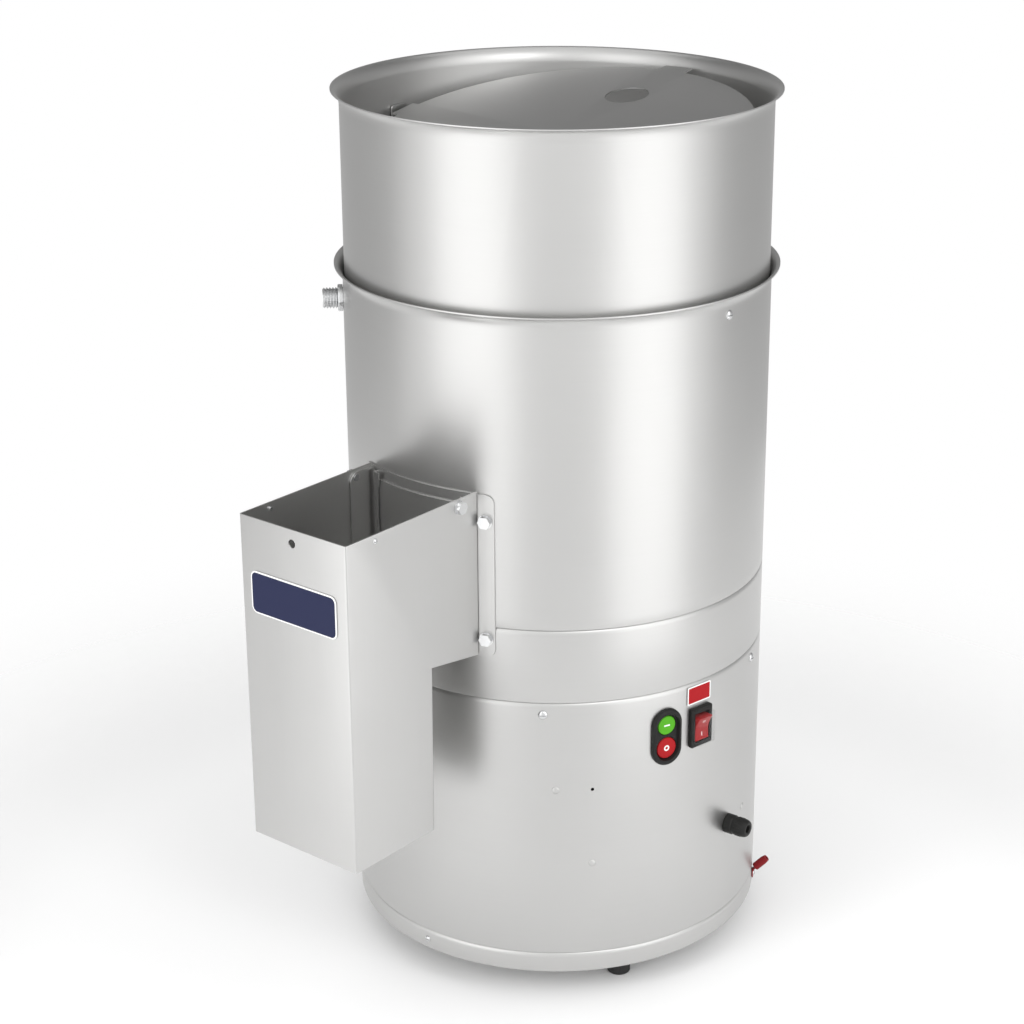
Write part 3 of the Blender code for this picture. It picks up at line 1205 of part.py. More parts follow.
def make_rotor_group():
    axis = pivot("rotor_axis", motor_place())
    core_low = (MOTOR_BODY_BOTTOM_Z + MOTOR_BODY_TOP_Z - ROTOR_CORE_T) / 2.0
    core_high = core_low + ROTOR_CORE_T
    fan_top = FAN_LOW_Z + FAN_T
    lathe("motor_rotor", BRIGHT,
          [(0.0, PULLEY_Z - PULLEY_T), (ROTOR_R, PULLEY_Z - PULLEY_T), (ROTOR_R, core_low),
           (ROTOR_CORE_R, core_low), (ROTOR_CORE_R, core_high), (ROTOR_R, core_high),
           (ROTOR_R, fan_top), (0.0, fan_top)], parent=axis)
    low = PULLEY_Z - PULLEY_T / 2.0
    high = PULLEY_Z + PULLEY_T / 2.0
    profile = [(ROTOR_R + GAP, low), (MOTOR_PULLEY_R, low)] + groove(MOTOR_PULLEY_R)
    profile += [(MOTOR_PULLEY_R, high), (PULLEY_HUB_R - PULLEY_WEB_T, high),
                (PULLEY_HUB_R - PULLEY_WEB_T, high + PULLEY_HUB_UP), (ROTOR_R + GAP, high + PULLEY_HUB_UP)]
    lathe("motor_pulley", CAST, profile, parent=axis)
    fan = lathe("motor_fan", BLACK, tube_profile(FAN_HUB_R, ROTOR_R + GAP, FAN_LOW_Z, fan_top),
                parent=axis, segments=SMALL_SEGMENTS)
    blades = new_mesh()
    for azimuth in spread(FAN_BLADES):
        add_box(blades, (FAN_HUB_R - FAN_BLADE_W, -FAN_BLADE_W / 2.0, FAN_LOW_Z + GAP),
                (FAN_R, FAN_BLADE_W / 2.0, fan_top - GAP), at(turn=azimuth))
    fuse(fan, blades)


def make_capacitor():
    place = round_axis(CAPACITOR_AZIMUTH, CAPACITOR_CIRCLE_R, FLOOR_THICK)
    inner = CAPACITOR_R + GAP
    floor = GAP + CLAMP_T
    lathe("capacitor_clamp", DARK_STEEL,
          [(0.0, GAP), (inner + CLAMP_T, GAP), (inner + CLAMP_T, CLAMP_H), (inner, CLAMP_H),
           (inner, floor), (0.0, floor)], place)
    low = floor + GAP
    high = low + CAPACITOR_H
    post = CAPACITOR_POST_R
    lathe("run_capacitor", BLACK,
          [(0.0, low), (CAPACITOR_R, low), (CAPACITOR_R, high - CLAMP_T),
           (CAPACITOR_R - CLAMP_T, high), (post, high), (post, high + CLAMP_H / 2.0),
           (0.0, high + CLAMP_H / 2.0)], place)


# Controls

def make_push_buttons():
    place = on_wall(BEZEL_AZIMUTH, DRUM_R, BEZEL_Z)
    bezel = prism("button_bezel", BLACK, pill(BEZEL_W, BEZEL_H), GAP, BEZEL_PROUD, place)
    body = new_mesh()
    add_prism(body, pill(BEZEL_BODY_W, BEZEL_BODY_H), -BEZEL_BODY_IN, BEZEL_PROUD / 2.0, place)
    fuse(bezel, body)
    dish = new_mesh()
    add_prism(dish, pill(BEZEL_DISH_W, BEZEL_DISH_H), BEZEL_DISH_UP, BEZEL_PROUD + OVERRUN, place)
    cut(bezel, dish)
    half = BUTTON_SPACING / 2.0
    wells = new_mesh()
    for radius, side in ((START_R, 1.0), (STOP_R, -1.0)):
        rod_bm(wells, radius + RUN_GAP, -BEZEL_BODY_IN - OVERRUN, BEZEL_PROUD + OVERRUN,
               place @ at(y=side * half), ROUND_SEGMENTS)
    cut(bezel, wells).modifiers[-1].name = "wells"
    stem_end = -BEZEL_BODY_IN + BUTTON_TRAVEL + RUN_GAP
    for name, finish, radius, proud, side in (
            ("start_button", GREEN, START_R, START_PROUD, 1.0),
            ("stop_button", RED, STOP_R, STOP_PROUD, -1.0)):
        axis = pivot(name + "_axis", place @ at(y=side * half))
        lathe(name, finish,
              [(0.0, stem_end), (BUTTON_STEM_R, stem_end), (BUTTON_STEM_R, proud - BUTTON_CAP_T),
               (radius, proud - BUTTON_CAP_T), (radius, proud - BUTTON_EDGE), (radius - BUTTON_EDGE, proud),
               (0.0, proud)], parent=axis)
    add = new_mesh()
    top = -BEZEL_BODY_IN - GAP
    add_box(add, (-CONTACT_W / 2.0, -CONTACT_H / 2.0, top - CONTACT_DEEP),
            (CONTACT_W / 2.0, CONTACT_H / 2.0, top), place)
    make("contact_block", BLACK, add)


def make_rocker():
    place = on_wall(ROCKER_AZIMUTH, DRUM_R, ROCKER_Z)
    frame = prism("rocker_frame", BLACK, rounded(ROCKER_W, ROCKER_H, ROCKER_CORNER),
                  GAP, ROCKER_PROUD, place)
    body = new_mesh()
    add_box(body, (-ROCKER_BODY_W / 2.0, -ROCKER_BODY_H / 2.0, -ROCKER_BODY_IN),
            (ROCKER_BODY_W / 2.0, ROCKER_BODY_H / 2.0, ROCKER_PROUD / 2.0), place)
    fuse(frame, body)
    hollow = new_mesh()
    pivot_z = ROCKER_PROUD - ROCKER_PIVOT_IN
    pocket = pivot_z - ROCKER_KEY_IN - 2.0 * RUN_GAP
    add_box(hollow, (-ROCKER_KEY_W / 2.0, -ROCKER_KEY_H / 2.0, pocket),
            (ROCKER_KEY_W / 2.0, ROCKER_KEY_H / 2.0, ROCKER_PROUD + OVERRUN), place)
    cut(frame, hollow)
    side_holes = new_mesh()
    along_x = Matrix.Rotation(math.radians(90.0), 4, "Y")
    pin_end = ROCKER_KEY_W / 2.0 + ROCKER_PIN_DEEP - RUN_GAP
    for side in SIDES:
        near = side * (ROCKER_KEY_W / 2.0 - RUN_GAP)
        far = side * (pin_end + GAP)
        rod_bm(side_holes, ROCKER_PIN_R + GAP, min(near, far), max(near, far),
               place @ at(z=pivot_z) @ along_x)
    cut(frame, side_holes).modifiers[-1].name = "pin holes"

    tilt = Matrix.Rotation(math.radians(ROCKER_SWING), 4, "X")
    axis = pivot("rocker_axis", place @ at(z=pivot_z) @ tilt)
    key_half = ROCKER_KEY_H / 2.0 - ROCKER_KEY_END_GAP
    outline = [(key_half * along, -ROCKER_KEY_IN * deep) for along, deep in ROCKER_KEY_BELLY_SHARES]
    outline += [(key_half * along, ROCKER_KEY_OUT * out) for along, out in ROCKER_KEY_FACE_SHARES]
    key_w = ROCKER_KEY_W / 2.0 - RUN_GAP
    bm = new_mesh()
    add_prism(bm, outline, -key_w, key_w, sideways())
    key = make("rocker_key", RED, bm, parent=axis)
    pins = new_mesh()
    for side in SIDES:
        near = side * (key_w - RUN_GAP)
        far = side * (pin_end - RUN_GAP)
        rod_bm(pins, ROCKER_PIN_R, min(near, far), max(near, far), along_x)
    fuse(key, pins)

    cover = new_mesh()
    wide = ROCKER_KEY_W + 2.0 * COVER_MARGIN
    tall = ROCKER_KEY_H + 2.0 * COVER_MARGIN
    seat = ROCKER_PROUD + GAP
    add_prism(cover, rounded(wide, tall, COVER_MARGIN), seat, COVER_OUT, place)
    cover = make("rocker_cover", CLEAR, cover)
    hollow = new_mesh()
    add_box(hollow, (-wide / 2.0 + COVER_T, -tall / 2.0 + COVER_T, seat - OVERRUN),
            (wide / 2.0 - COVER_T, tall / 2.0 - COVER_T, COVER_OUT - COVER_T), place)
    cut(cover, hollow)


def inner_seat(radius):
    """How far in from the drum's outside a flat nut of this radius seats."""
    return -SHEET - radius * math.tan(math.pi / SHELL_SEGMENTS) - GAP


def make_fittings():
    prism("red_sign", RED, rounded(SIGN_W, SIGN_H, SIGN_CORNER), GAP, GAP + SIGN_T,
          on_wall(SIGN_AZIMUTH, DRUM_R, SIGN_Z))
    dome = GLAND_BODY_T + GLAND_DOME_T
    waist = GLAND_BODY_R * GLAND_WAIST_SHARE
    cap = GLAND_BODY_R * GLAND_CAP_SHARE
    lathe("cable_gland", BLACK,
          [(GLAND_BORE_R, -GLAND_REACH), (GLAND_THREAD_R, -GLAND_REACH), (GLAND_THREAD_R, GAP),
           (GLAND_BODY_R, GAP), (GLAND_BODY_R, GLAND_BODY_T), (waist, GLAND_BODY_T + GAP),
           (waist, GLAND_BODY_T + SHEET), (cap, GLAND_BODY_T + 2.0 * SHEET),
           (cap, dome * GLAND_SHOULDER_SHARE), (GLAND_BODY_R * GLAND_MOUTH_SHARE, dome),
           (GLAND_BORE_R, dome)],
          on_wall(GLAND_AZIMUTH, DRUM_R, GLAND_Z), segments=SMALL_SEGMENTS)
    nut_r = GLAND_BODY_R + GAP
    seat = inner_seat(nut_r)
    lathe("gland_nut", BLACK, tube_profile(nut_r, GLAND_THREAD_R + GAP, seat - GLAND_NUT_T, seat),
          on_wall(GLAND_AZIMUTH, DRUM_R, GLAND_Z), segments=SMALL_SEGMENTS)

    place = on_wall(EARTH_AZIMUTH, DRUM_R, BASE_SCREW_Z)
    terminal = lathe("earth_terminal", RED,
                     tube_profile(EARTH_RING_R, SCREW_SHANK_R + GAP, GAP, GAP + EARTH_RING_T), place)
    lean = place @ at(y=EARTH_RING_R * EARTH_ROOT_SHARE, z=GAP) @ Matrix.Rotation(
        math.radians(EARTH_LEAN - 90.0), 4, "X")
    tongue = new_mesh()
    reach = EARTH_SLEEVE_REACH
    half = EARTH_RING_R * EARTH_TONGUE_SHARE
    add_box(tongue, (-half, -EARTH_RING_T, -EARTH_RING_T), (half, 0.0, reach + EARTH_RING_T), lean)
    fuse(terminal, tongue)
    sleeve = new_mesh()
    end = reach + EARTH_SLEEVE_L
    mouth_r = EARTH_SLEEVE_R * EARTH_MOUTH_SHARE
    mouth_end = reach + EARTH_SLEEVE_L * EARTH_MOUTH_UP_SHARE
    add_lathe(sleeve, [(0.0, reach), (EARTH_SLEEVE_R, reach), (EARTH_SLEEVE_R, end), (mouth_r, end),
                       (mouth_r, mouth_end), (0.0, mouth_end)], lean, SMALL_SEGMENTS)
    fuse(terminal, sleeve).modifiers[-1].name = "sleeve"


def make_water():
    place = on_wall(INLET_AZIMUTH, DRUM_R, INLET_Z)
    collar = GAP + INLET_COLLAR_T
    profile = [(INLET_BORE_R, -INLET_IN), (INLET_THREAD_R, -INLET_IN), (INLET_THREAD_R, GAP),
               (INLET_COLLAR_R, GAP), (INLET_COLLAR_R, collar - SHEET), (INLET_COLLAR_R - SHEET, collar)]
    pitch = (INLET_OUT - collar) / INLET_THREADS
    for i in range(INLET_THREADS):
        z = collar + pitch * i
        profile += [(INLET_ROOT_R, z)]
        profile += [(INLET_THREAD_R, z + pitch * share) for share in INLET_CREST_SHARES]
    profile += [(INLET_ROOT_R, INLET_OUT), (INLET_BORE_R, INLET_OUT)]
    lathe("water_inlet", BRIGHT, profile, place, segments=SMALL_SEGMENTS)
    seat = inner_seat(INLET_COLLAR_R)
    lathe("inlet_nut", BRIGHT,
          tube_profile(INLET_COLLAR_R - GAP, INLET_THREAD_R + GAP, seat - INLET_COLLAR_T, seat),
          place, segments=SMALL_SEGMENTS)

    sump = round_axis(DRAIN_AZIMUTH, DRAIN_CIRCLE_R, 0.0)
    top = FLOOR_BOTTOM_Z - GAP
    bottom = DRAIN_Z - DRAIN_PIPE_R - DRAIN_WALL
    spout = lathe("drain_spout", STEEL, rod_profile(DRAIN_R, bottom, top), sump)
    along = sump @ at(z=DRAIN_Z) @ sideways()
    pipe = new_mesh()
    out = DRAIN_OUT_R - DRAIN_CIRCLE_R
    rod_bm(pipe, DRAIN_PIPE_R, 0.0, out, along, ROUND_SEGMENTS)
    fuse(spout, pipe)
    bore = new_mesh()
    rod_bm(bore, DRAIN_R - DRAIN_WALL, bottom + DRAIN_WALL, top + OVERRUN, sump, ROUND_SEGMENTS)
    cut(spout, bore)
    bore = new_mesh()
    rod_bm(bore, DRAIN_PIPE_R - DRAIN_WALL, 0.0, out + OVERRUN, along, ROUND_SEGMENTS)
    cut(spout, bore).modifiers[-1].name = "pipe bore"


def stand_on_origin():
    """Moves the machine so that its footprint's middle is at the origin, at floor level."""
    bpy.context.view_layer.update()
    graph = bpy.context.evaluated_depsgraph_get()
    low = Vector((math.inf, math.inf, math.inf))
    high = -low
    for thing in bpy.data.objects:
        if thing.type != "MESH" or thing.hide_render:
            continue
        shape = thing.evaluated_get(graph)
        for corner in shape.bound_box:
            point = shape.matrix_world @ Vector(corner)
            low = Vector(map(min, low, point))
            high = Vector(map(max, high, point))
    root.location = (-(low.x + high.x) / 2.0, -(low.y + high.y) / 2.0, -low.z)


def main():
    global root
    for thing in list(bpy.data.objects):
        bpy.data.objects.remove(thing, do_unlink=True)
    root = bpy.data.objects.new("peeler", None)
    bpy.context.collection.objects.link(root)
    make_base()
    wall_screw("earth_screw", EARTH_AZIMUTH, BASE_SCREW_Z,
               BASE_SCREW_HEAD_R, EARTH_RING_T + GAP)
    make_housing()
    make_chamber()
    make_hopper()
    make_lid()
    make_chute_neck()
    make_chute_box()
    make_gate()
    make_disc_group()
    make_bearings()
    make_belt()
    make_motor_stand()
    make_motor()
    make_rotor_group()
    make_capacitor()
    make_push_buttons()
    make_rocker()
    make_fittings()
    make_water()
    stand_on_origin()


main()
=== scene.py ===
"""Looks for the electric potato peeler: fine sheet shells, fittings, finishes, light and camera.

Every piece is laid out round the drum's own axis, with heights from the base ring's bottom edge
and the chute towards -X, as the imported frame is. A Datum turns that into the frame's own place.
"""
import logging
import math
from dataclasses import dataclass
from enum import Enum
from typing import Callable

import bmesh
import bpy
from mathutils import Matrix, Vector

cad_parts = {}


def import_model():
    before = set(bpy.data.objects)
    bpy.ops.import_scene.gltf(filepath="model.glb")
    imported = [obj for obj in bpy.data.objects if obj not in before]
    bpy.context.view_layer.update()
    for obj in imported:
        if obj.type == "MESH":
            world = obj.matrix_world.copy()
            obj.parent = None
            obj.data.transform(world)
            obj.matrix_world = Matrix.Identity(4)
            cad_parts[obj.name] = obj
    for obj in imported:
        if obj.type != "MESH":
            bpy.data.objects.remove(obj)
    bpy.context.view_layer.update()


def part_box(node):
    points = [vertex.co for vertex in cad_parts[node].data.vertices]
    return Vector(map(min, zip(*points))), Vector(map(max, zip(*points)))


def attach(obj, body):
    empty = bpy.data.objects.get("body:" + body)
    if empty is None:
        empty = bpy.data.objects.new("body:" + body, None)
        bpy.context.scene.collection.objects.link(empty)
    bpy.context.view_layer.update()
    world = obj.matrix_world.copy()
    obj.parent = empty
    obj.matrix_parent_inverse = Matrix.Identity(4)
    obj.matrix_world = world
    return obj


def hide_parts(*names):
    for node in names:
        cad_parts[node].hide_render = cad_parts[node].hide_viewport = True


LOG = logging.getLogger("peeler")
MM = 0.001
GAP_MM = 0.3
GAP = GAP_MM * MM
RUN_GAP = 0.6 * MM
SHEET = 1.2 * MM
OVERRUN = 4.0 * MM
FULL_TURN = 2.0 * math.pi
SIDES = (-1.0, 1.0)

Outline = list[tuple[float, float]]
Colour = tuple[float, float, float]


# Nodes

class Wire:
    """A node's output that can take part in Python expressions."""

    def __init__(self, sheet: "NodeSheet", socket: bpy.types.NodeSocket) -> None:
        """Keeps the sheet that the socket is on, so that an expression can add to it."""
        self.sheet = sheet
        self.socket = socket

    def _math(self, operation: str, first: object, second: object) -> "Wire":
        """Adds one Math node and returns its result."""
        return self.sheet.add("ShaderNodeMath", {0: first, 1: second}, operation=operation)

    def __add__(self, other: object) -> "Wire":
        """Adds a value or wire."""
        return self._math("ADD", self, other)

    def __rsub__(self, other: object) -> "Wire":
        """Takes this from a value."""
        return self._math("SUBTRACT", other, self)

    def __mul__(self, other: object) -> "Wire":
        """Multiplies by a value or wire."""
        return self._math("MULTIPLY", self, other)

    def __truediv__(self, other: object) -> "Wire":
        """Divides by a value or wire."""
        return self._math("DIVIDE", self, other)


class NodeSheet:
    """A node tree that is filled by one method."""

    def __init__(self, tree: bpy.types.NodeTree) -> None:
        """Starts from an empty tree."""
        self.tree = tree
        tree.nodes.clear()

    def add(self, kind: str, values: dict | None = None, output: int | str = 0,
            **settings: object) -> Wire:
        """Adds a node.

        Args:
            kind: the node's type.
            values: values, wires or lists of wires by socket name or index.
            output: the output that the wire is taken from.
            settings: attributes that are set before its sockets are.

        Returns:
            The chosen output, or a wire without a socket where the node has none.
        """
        node = self.tree.nodes.new(kind)
        for key, value in settings.items():
            setattr(node, key, value)
        for key, value in (values or {}).items():
            wires = value if isinstance(value, list) else [value]
            for wire in wires:
                if isinstance(wire, Wire):
                    self.tree.links.new(wire.socket, node.inputs[key])
                else:
                    node.inputs[key].default_value = wire
        return Wire(self, node.outputs[output] if len(node.outputs) else None)

    def blend(self, factor: object, low: Colour, high: Colour) -> Wire:
        """Mixes two colours by a factor that is 0 for the low one and 1 for the high one."""
        ends = {0: factor, 6: (*low, 1.0), 7: (*high, 1.0)}
        return self.add("ShaderNodeMix", ends, 2, data_type="RGBA")

    def smooth(self, value: Wire, start: float, end: float, low: float, high: float) -> Wire:
        """Runs smoothly from low to high while a value runs from start to end."""
        span = {"Value": value, "From Min": start, "From Max": end, "To Min": low, "To Max": high}
        return self.add("ShaderNodeMapRange", span, interpolation_type="SMOOTHSTEP")

    def place(self) -> Wire:
        """The object's own coordinates."""
        return self.add("ShaderNodeTexCoord", None, "Object")


def paint(name: str, shade: Callable[[NodeSheet], Wire]) -> bpy.types.Material:
    """Makes a material.

    Args:
        name: its name.
        shade: fills its sheet and returns the surface shader.

    Returns:
        The material, or the one of that name made before.
    """
    material = bpy.data.materials.get(name)
    if material is None:
        material = bpy.data.materials.new(name)
        material.use_nodes = True
        sheet = NodeSheet(material.node_tree)
        sheet.add("ShaderNodeOutputMaterial", {"Surface": shade(sheet)})
    return material


# Finishes

class Grain(Enum):
    """Which way the fine marks in a finish run, as stretches of the noise along X, Y and Z."""

    AROUND = (9.0, 9.0, 1500.0)
    UPRIGHT = (1500.0, 1500.0, 9.0)
    CAST = (420.0, 420.0, 420.0)
    TURNED = (60.0, 60.0, 2400.0)


@dataclass(frozen=True)
class Finish:
    """A surface with grain, cloudy variation in colour and roughness, and a fine bump."""

    name: str
    slot: str
    colour: Colour
    roughness: float
    metallic: float = 0.0
    grain: Grain = Grain.CAST
    cloud_scale: float = 6.0
    cloud_share: float = 0.04
    grain_share: float = 0.02
    roughness_share: float = 0.12
    bump_m: float = 0.00002
    bump_share: float = 0.25
    coat: float = 0.0
    coat_roughness: float = 0.08
    alpha: float = 1.0
    specular: float = 0.5

    def build(self) -> bpy.types.Material:
        """Makes the material, or returns the one made before."""
        material = paint(self.name, self.shade)
        material.diffuse_color = (*self.colour, 1.0)
        return material

    def shade(self, sheet: NodeSheet) -> Wire:
        """Fills the material's sheet."""
        place = sheet.place()
        stretched = sheet.add("ShaderNodeMapping", {"Vector": place, "Scale": self.grain.value})
        fine = sheet.add("ShaderNodeTexNoise", {"Vector": stretched, "Scale": 1.0, "Detail": 3.0})
        cloud = sheet.add("ShaderNodeTexNoise", {"Vector": place, "Scale": self.cloud_scale, "Detail": 2.0})
        whole = self.cloud_share + self.grain_share
        dark = tuple(c * (1.0 - whole) for c in self.colour)
        light = tuple(min(1.0, c * (1.0 + whole)) for c in self.colour)
        mix = (cloud * self.cloud_share + fine * self.grain_share) / whole
        spread = self.roughness * self.roughness_share
        bump = {"Strength": self.bump_share, "Distance": self.bump_m, "Height": fine}
        return sheet.add("ShaderNodeBsdfPrincipled", {
            "Base Color": sheet.blend(mix, dark, light), "Metallic": self.metallic,
            "Roughness": (cloud + fine) * spread + (self.roughness - spread),
            "Coat Weight": self.coat, "Coat Roughness": self.coat_roughness, "Alpha": self.alpha,
            "Specular IOR Level": self.specular, "Normal": sheet.add("ShaderNodeBump", bump)})


@dataclass(frozen=True)
class Grit(Finish):
    """Bonded abrasive: dark binder packed with pale and black grains."""

    grain_scale: float = 420.0
    pale_times: float = 4.0
    stops: tuple = ((0.0, 0.0), (0.72, 0.08), (0.9, 0.75))

    def shade(self, sheet: NodeSheet) -> Wire:
        """Fills the material's sheet."""
        cells = {"Vector": sheet.place(), "Scale": self.grain_scale}
        tone = sheet.add("ShaderNodeSeparateColor", {0: sheet.add("ShaderNodeTexVoronoi", cells, "Color")})
        pale = sheet.add("ShaderNodeValToRGB", {0: tone})
        ramp = pale.socket.node.color_ramp
        for index, (place, grey) in enumerate(self.stops):
            stop = ramp.elements[index] if index < 2 else ramp.elements.new(place)
            stop.position = place
            stop.color = (grey, grey, grey, 1.0)
        light = tuple(min(1.0, c * self.pale_times) for c in self.colour)
        height = 1.0 - sheet.add("ShaderNodeTexVoronoi", cells)
        bump = sheet.add("ShaderNodeBump", {"Strength": 0.9, "Distance": 0.0008, "Height": height})
        return sheet.add("ShaderNodeBsdfPrincipled", {
            "Base Color": sheet.blend(pale, self.colour, light),
            "Roughness": pale * -0.3 + self.roughness, "Normal": bump})


SATIN = Finish("satin_sheet", "steel", (0.545, 0.543, 0.536), 0.37, 1.0, Grain.AROUND)
SATIN_BOX = Finish("satin_folded_sheet", "steel", (0.54, 0.538, 0.531), 0.36, 1.0, Grain.UPRIGHT)
BRIGHT = Finish("bright_zinc", "bright_steel", (0.64, 0.645, 0.65), 0.24, 1.0, bump_share=0.1)
TURNED = Finish("turned_steel", "bright_steel", (0.60, 0.60, 0.60), 0.24, 1.0, Grain.TURNED)
CAST = Finish("cast_aluminium_skin", "cast_aluminium", (0.52, 0.53, 0.54), 0.48, 1.0,
              bump_m=0.0001, bump_share=0.5)
DARK_STEEL = Finish("dark_enamel", "dark_steel", (0.09, 0.09, 0.095), 0.45, cloud_share=0.12)
BLACK = Finish("black_moulding", "black_plastic", (0.012, 0.012, 0.0115), 0.42, cloud_share=0.10,
               bump_m=0.00005, bump_share=0.35, specular=0.2)
RUBBER = Finish("foot_rubber", "black_rubber", (0.014, 0.014, 0.014), 0.72, cloud_share=0.15,
                bump_m=0.00008, bump_share=0.4)
GREEN = Finish("start_green", "green_plastic", (0.085, 0.37, 0.018), 0.34, specular=0.12)
RED = Finish("stop_red", "red_plastic", (0.37, 0.012, 0.015), 0.34, specular=0.12)
KEY_RED = Finish("rocker_red", "red_plastic", (0.34, 0.009, 0.011), 0.26, coat=0.1, specular=0.2)
SIGN_RED = Finish("sign_red", "red_plastic", (0.37, 0.011, 0.015), 0.45, specular=0.1)
SLEEVE_RED = Finish("sleeve_red", "red_plastic", (0.21, 0.013, 0.016), 0.42, specular=0.15)
CLEAR = Finish("clear_cover", "clear_plastic", (0.12, 0.12, 0.12), 0.08, bump_share=0.0, alpha=0.05)
NAVY = Finish("navy_enamel", "navy_plate", (0.012, 0.016, 0.055), 0.40, specular=0.2)
WHITE_INK = Finish("white_ink", "navy_plate", (0.86, 0.86, 0.85), 0.45)
MOTOR_PAINT = Finish("motor_enamel", "motor_paint", (0.10, 0.14, 0.18), 0.42, bump_m=0.00008,
                     bump_share=0.5)
GRIT = Grit("bonded_grit", "abrasive_grit", (0.055, 0.050, 0.048), 0.88)


# Places

@dataclass(frozen=True)
class Datum:
    """The drum's axis and the base ring's bottom edge in the frame."""

    axis_x: float
    axis_y: float
    base_z: float

    @classmethod
    def from_frame(cls) -> "Datum":
        """Reads the drum's place from its round nodes."""
        low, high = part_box("drum_shell")
        return cls((low[0] + high[0]) / 2.0, (low[1] + high[1]) / 2.0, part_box("base_pan")[0][2])

    def matrix(self) -> Matrix:
        """The move from the drum's frame to the row's frame."""
        return Matrix.Translation((self.axis_x, self.axis_y, self.base_z))


def turned(degrees: float, axis: str) -> Matrix:
    """A turn about a main axis."""
    return Matrix.Rotation(math.radians(degrees), 4, axis)


def at(x: float = 0.0, y: float = 0.0, z: float = 0.0, turn: float = 0.0) -> Matrix:
    """A place on the drum's frame, turned by degrees about +Z."""
    return Matrix.Translation((x, y, z)) @ turned(turn, "Z")


def round_axis(azimuth: float, radius: float, z: float = 0.0) -> Matrix:
    """An upright place at an azimuth, local +X outward."""
    return turned(azimuth, "Z") @ Matrix.Translation((radius, 0.0, z))


SIDEWAYS = Matrix(((0, 0, 1, 0), (1, 0, 0, 0), (0, 1, 0, 0), (0, 0, 0, 1)))
XZ_TO_WORLD = Matrix(((1, 0, 0, 0), (0, 0, -1, 0), (0, 1, 0, 0), (0, 0, 0, 1)))
FACING_DOWN = turned(180.0, "X")


def on_wall(azimuth: float, radius: float, z: float) -> Matrix:
    """A place on a wall: local +Z outward, +Y up, +X along the wall."""
    return round_axis(azimuth, radius, z) @ SIDEWAYS


def spread(count: int, start: float = 0.0) -> list[float]:
    """Evenly spread azimuths in degrees."""
    return [start + 360.0 * index / count for index in range(count)]


# Outlines

def mm(*values: float) -> tuple[float, ...]:
    """Millimetres as metres."""
    return tuple(value * MM for value in values)


def path(*corners: tuple[float, float]) -> Outline:
    """An outline whose corners are in millimetres."""
    return [mm(*corner) for corner in corners]


def arc(cx: float, cy: float, radius: float, start: float, end: float, steps: int) -> Outline:
    """Points of an arc, in degrees, both ends included."""
    points = []
    for index in range(steps + 1):
        angle = math.radians(start + (end - start) * index / steps)
        points.append((cx + radius * math.cos(angle), cy + radius * math.sin(angle)))
    return points


def rounded(width: float, height: float, radius: float, steps: int = 8) -> Outline:
    """A centred rectangle with round corners."""
    hx = width / 2.0 - radius
    hy = height / 2.0 - radius
    points: Outline = []
    for cx, cy, start in ((hx, -hy, -90.0), (hx, hy, 0.0), (-hx, hy, 90.0), (-hx, -hy, 180.0)):
        points += arc(cx, cy, radius, start, start + 90.0, steps)
    return points


def pill(width: float, height: float, steps: int = 24) -> Outline:
    """An upright slot with half-round ends."""
    radius = width / 2.0
    reach = height / 2.0 - radius
    return arc(0.0, reach, radius, 0.0, 180.0, steps) + arc(0.0, -reach, radius, 180.0, 360.0, steps)


def rectangle(x0: float, y0: float, x1: float, y1: float) -> Outline:
    """An upright rectangle by its corners."""
    return [(x0, y0), (x1, y0), (x1, y1), (x0, y1)]


# Solids

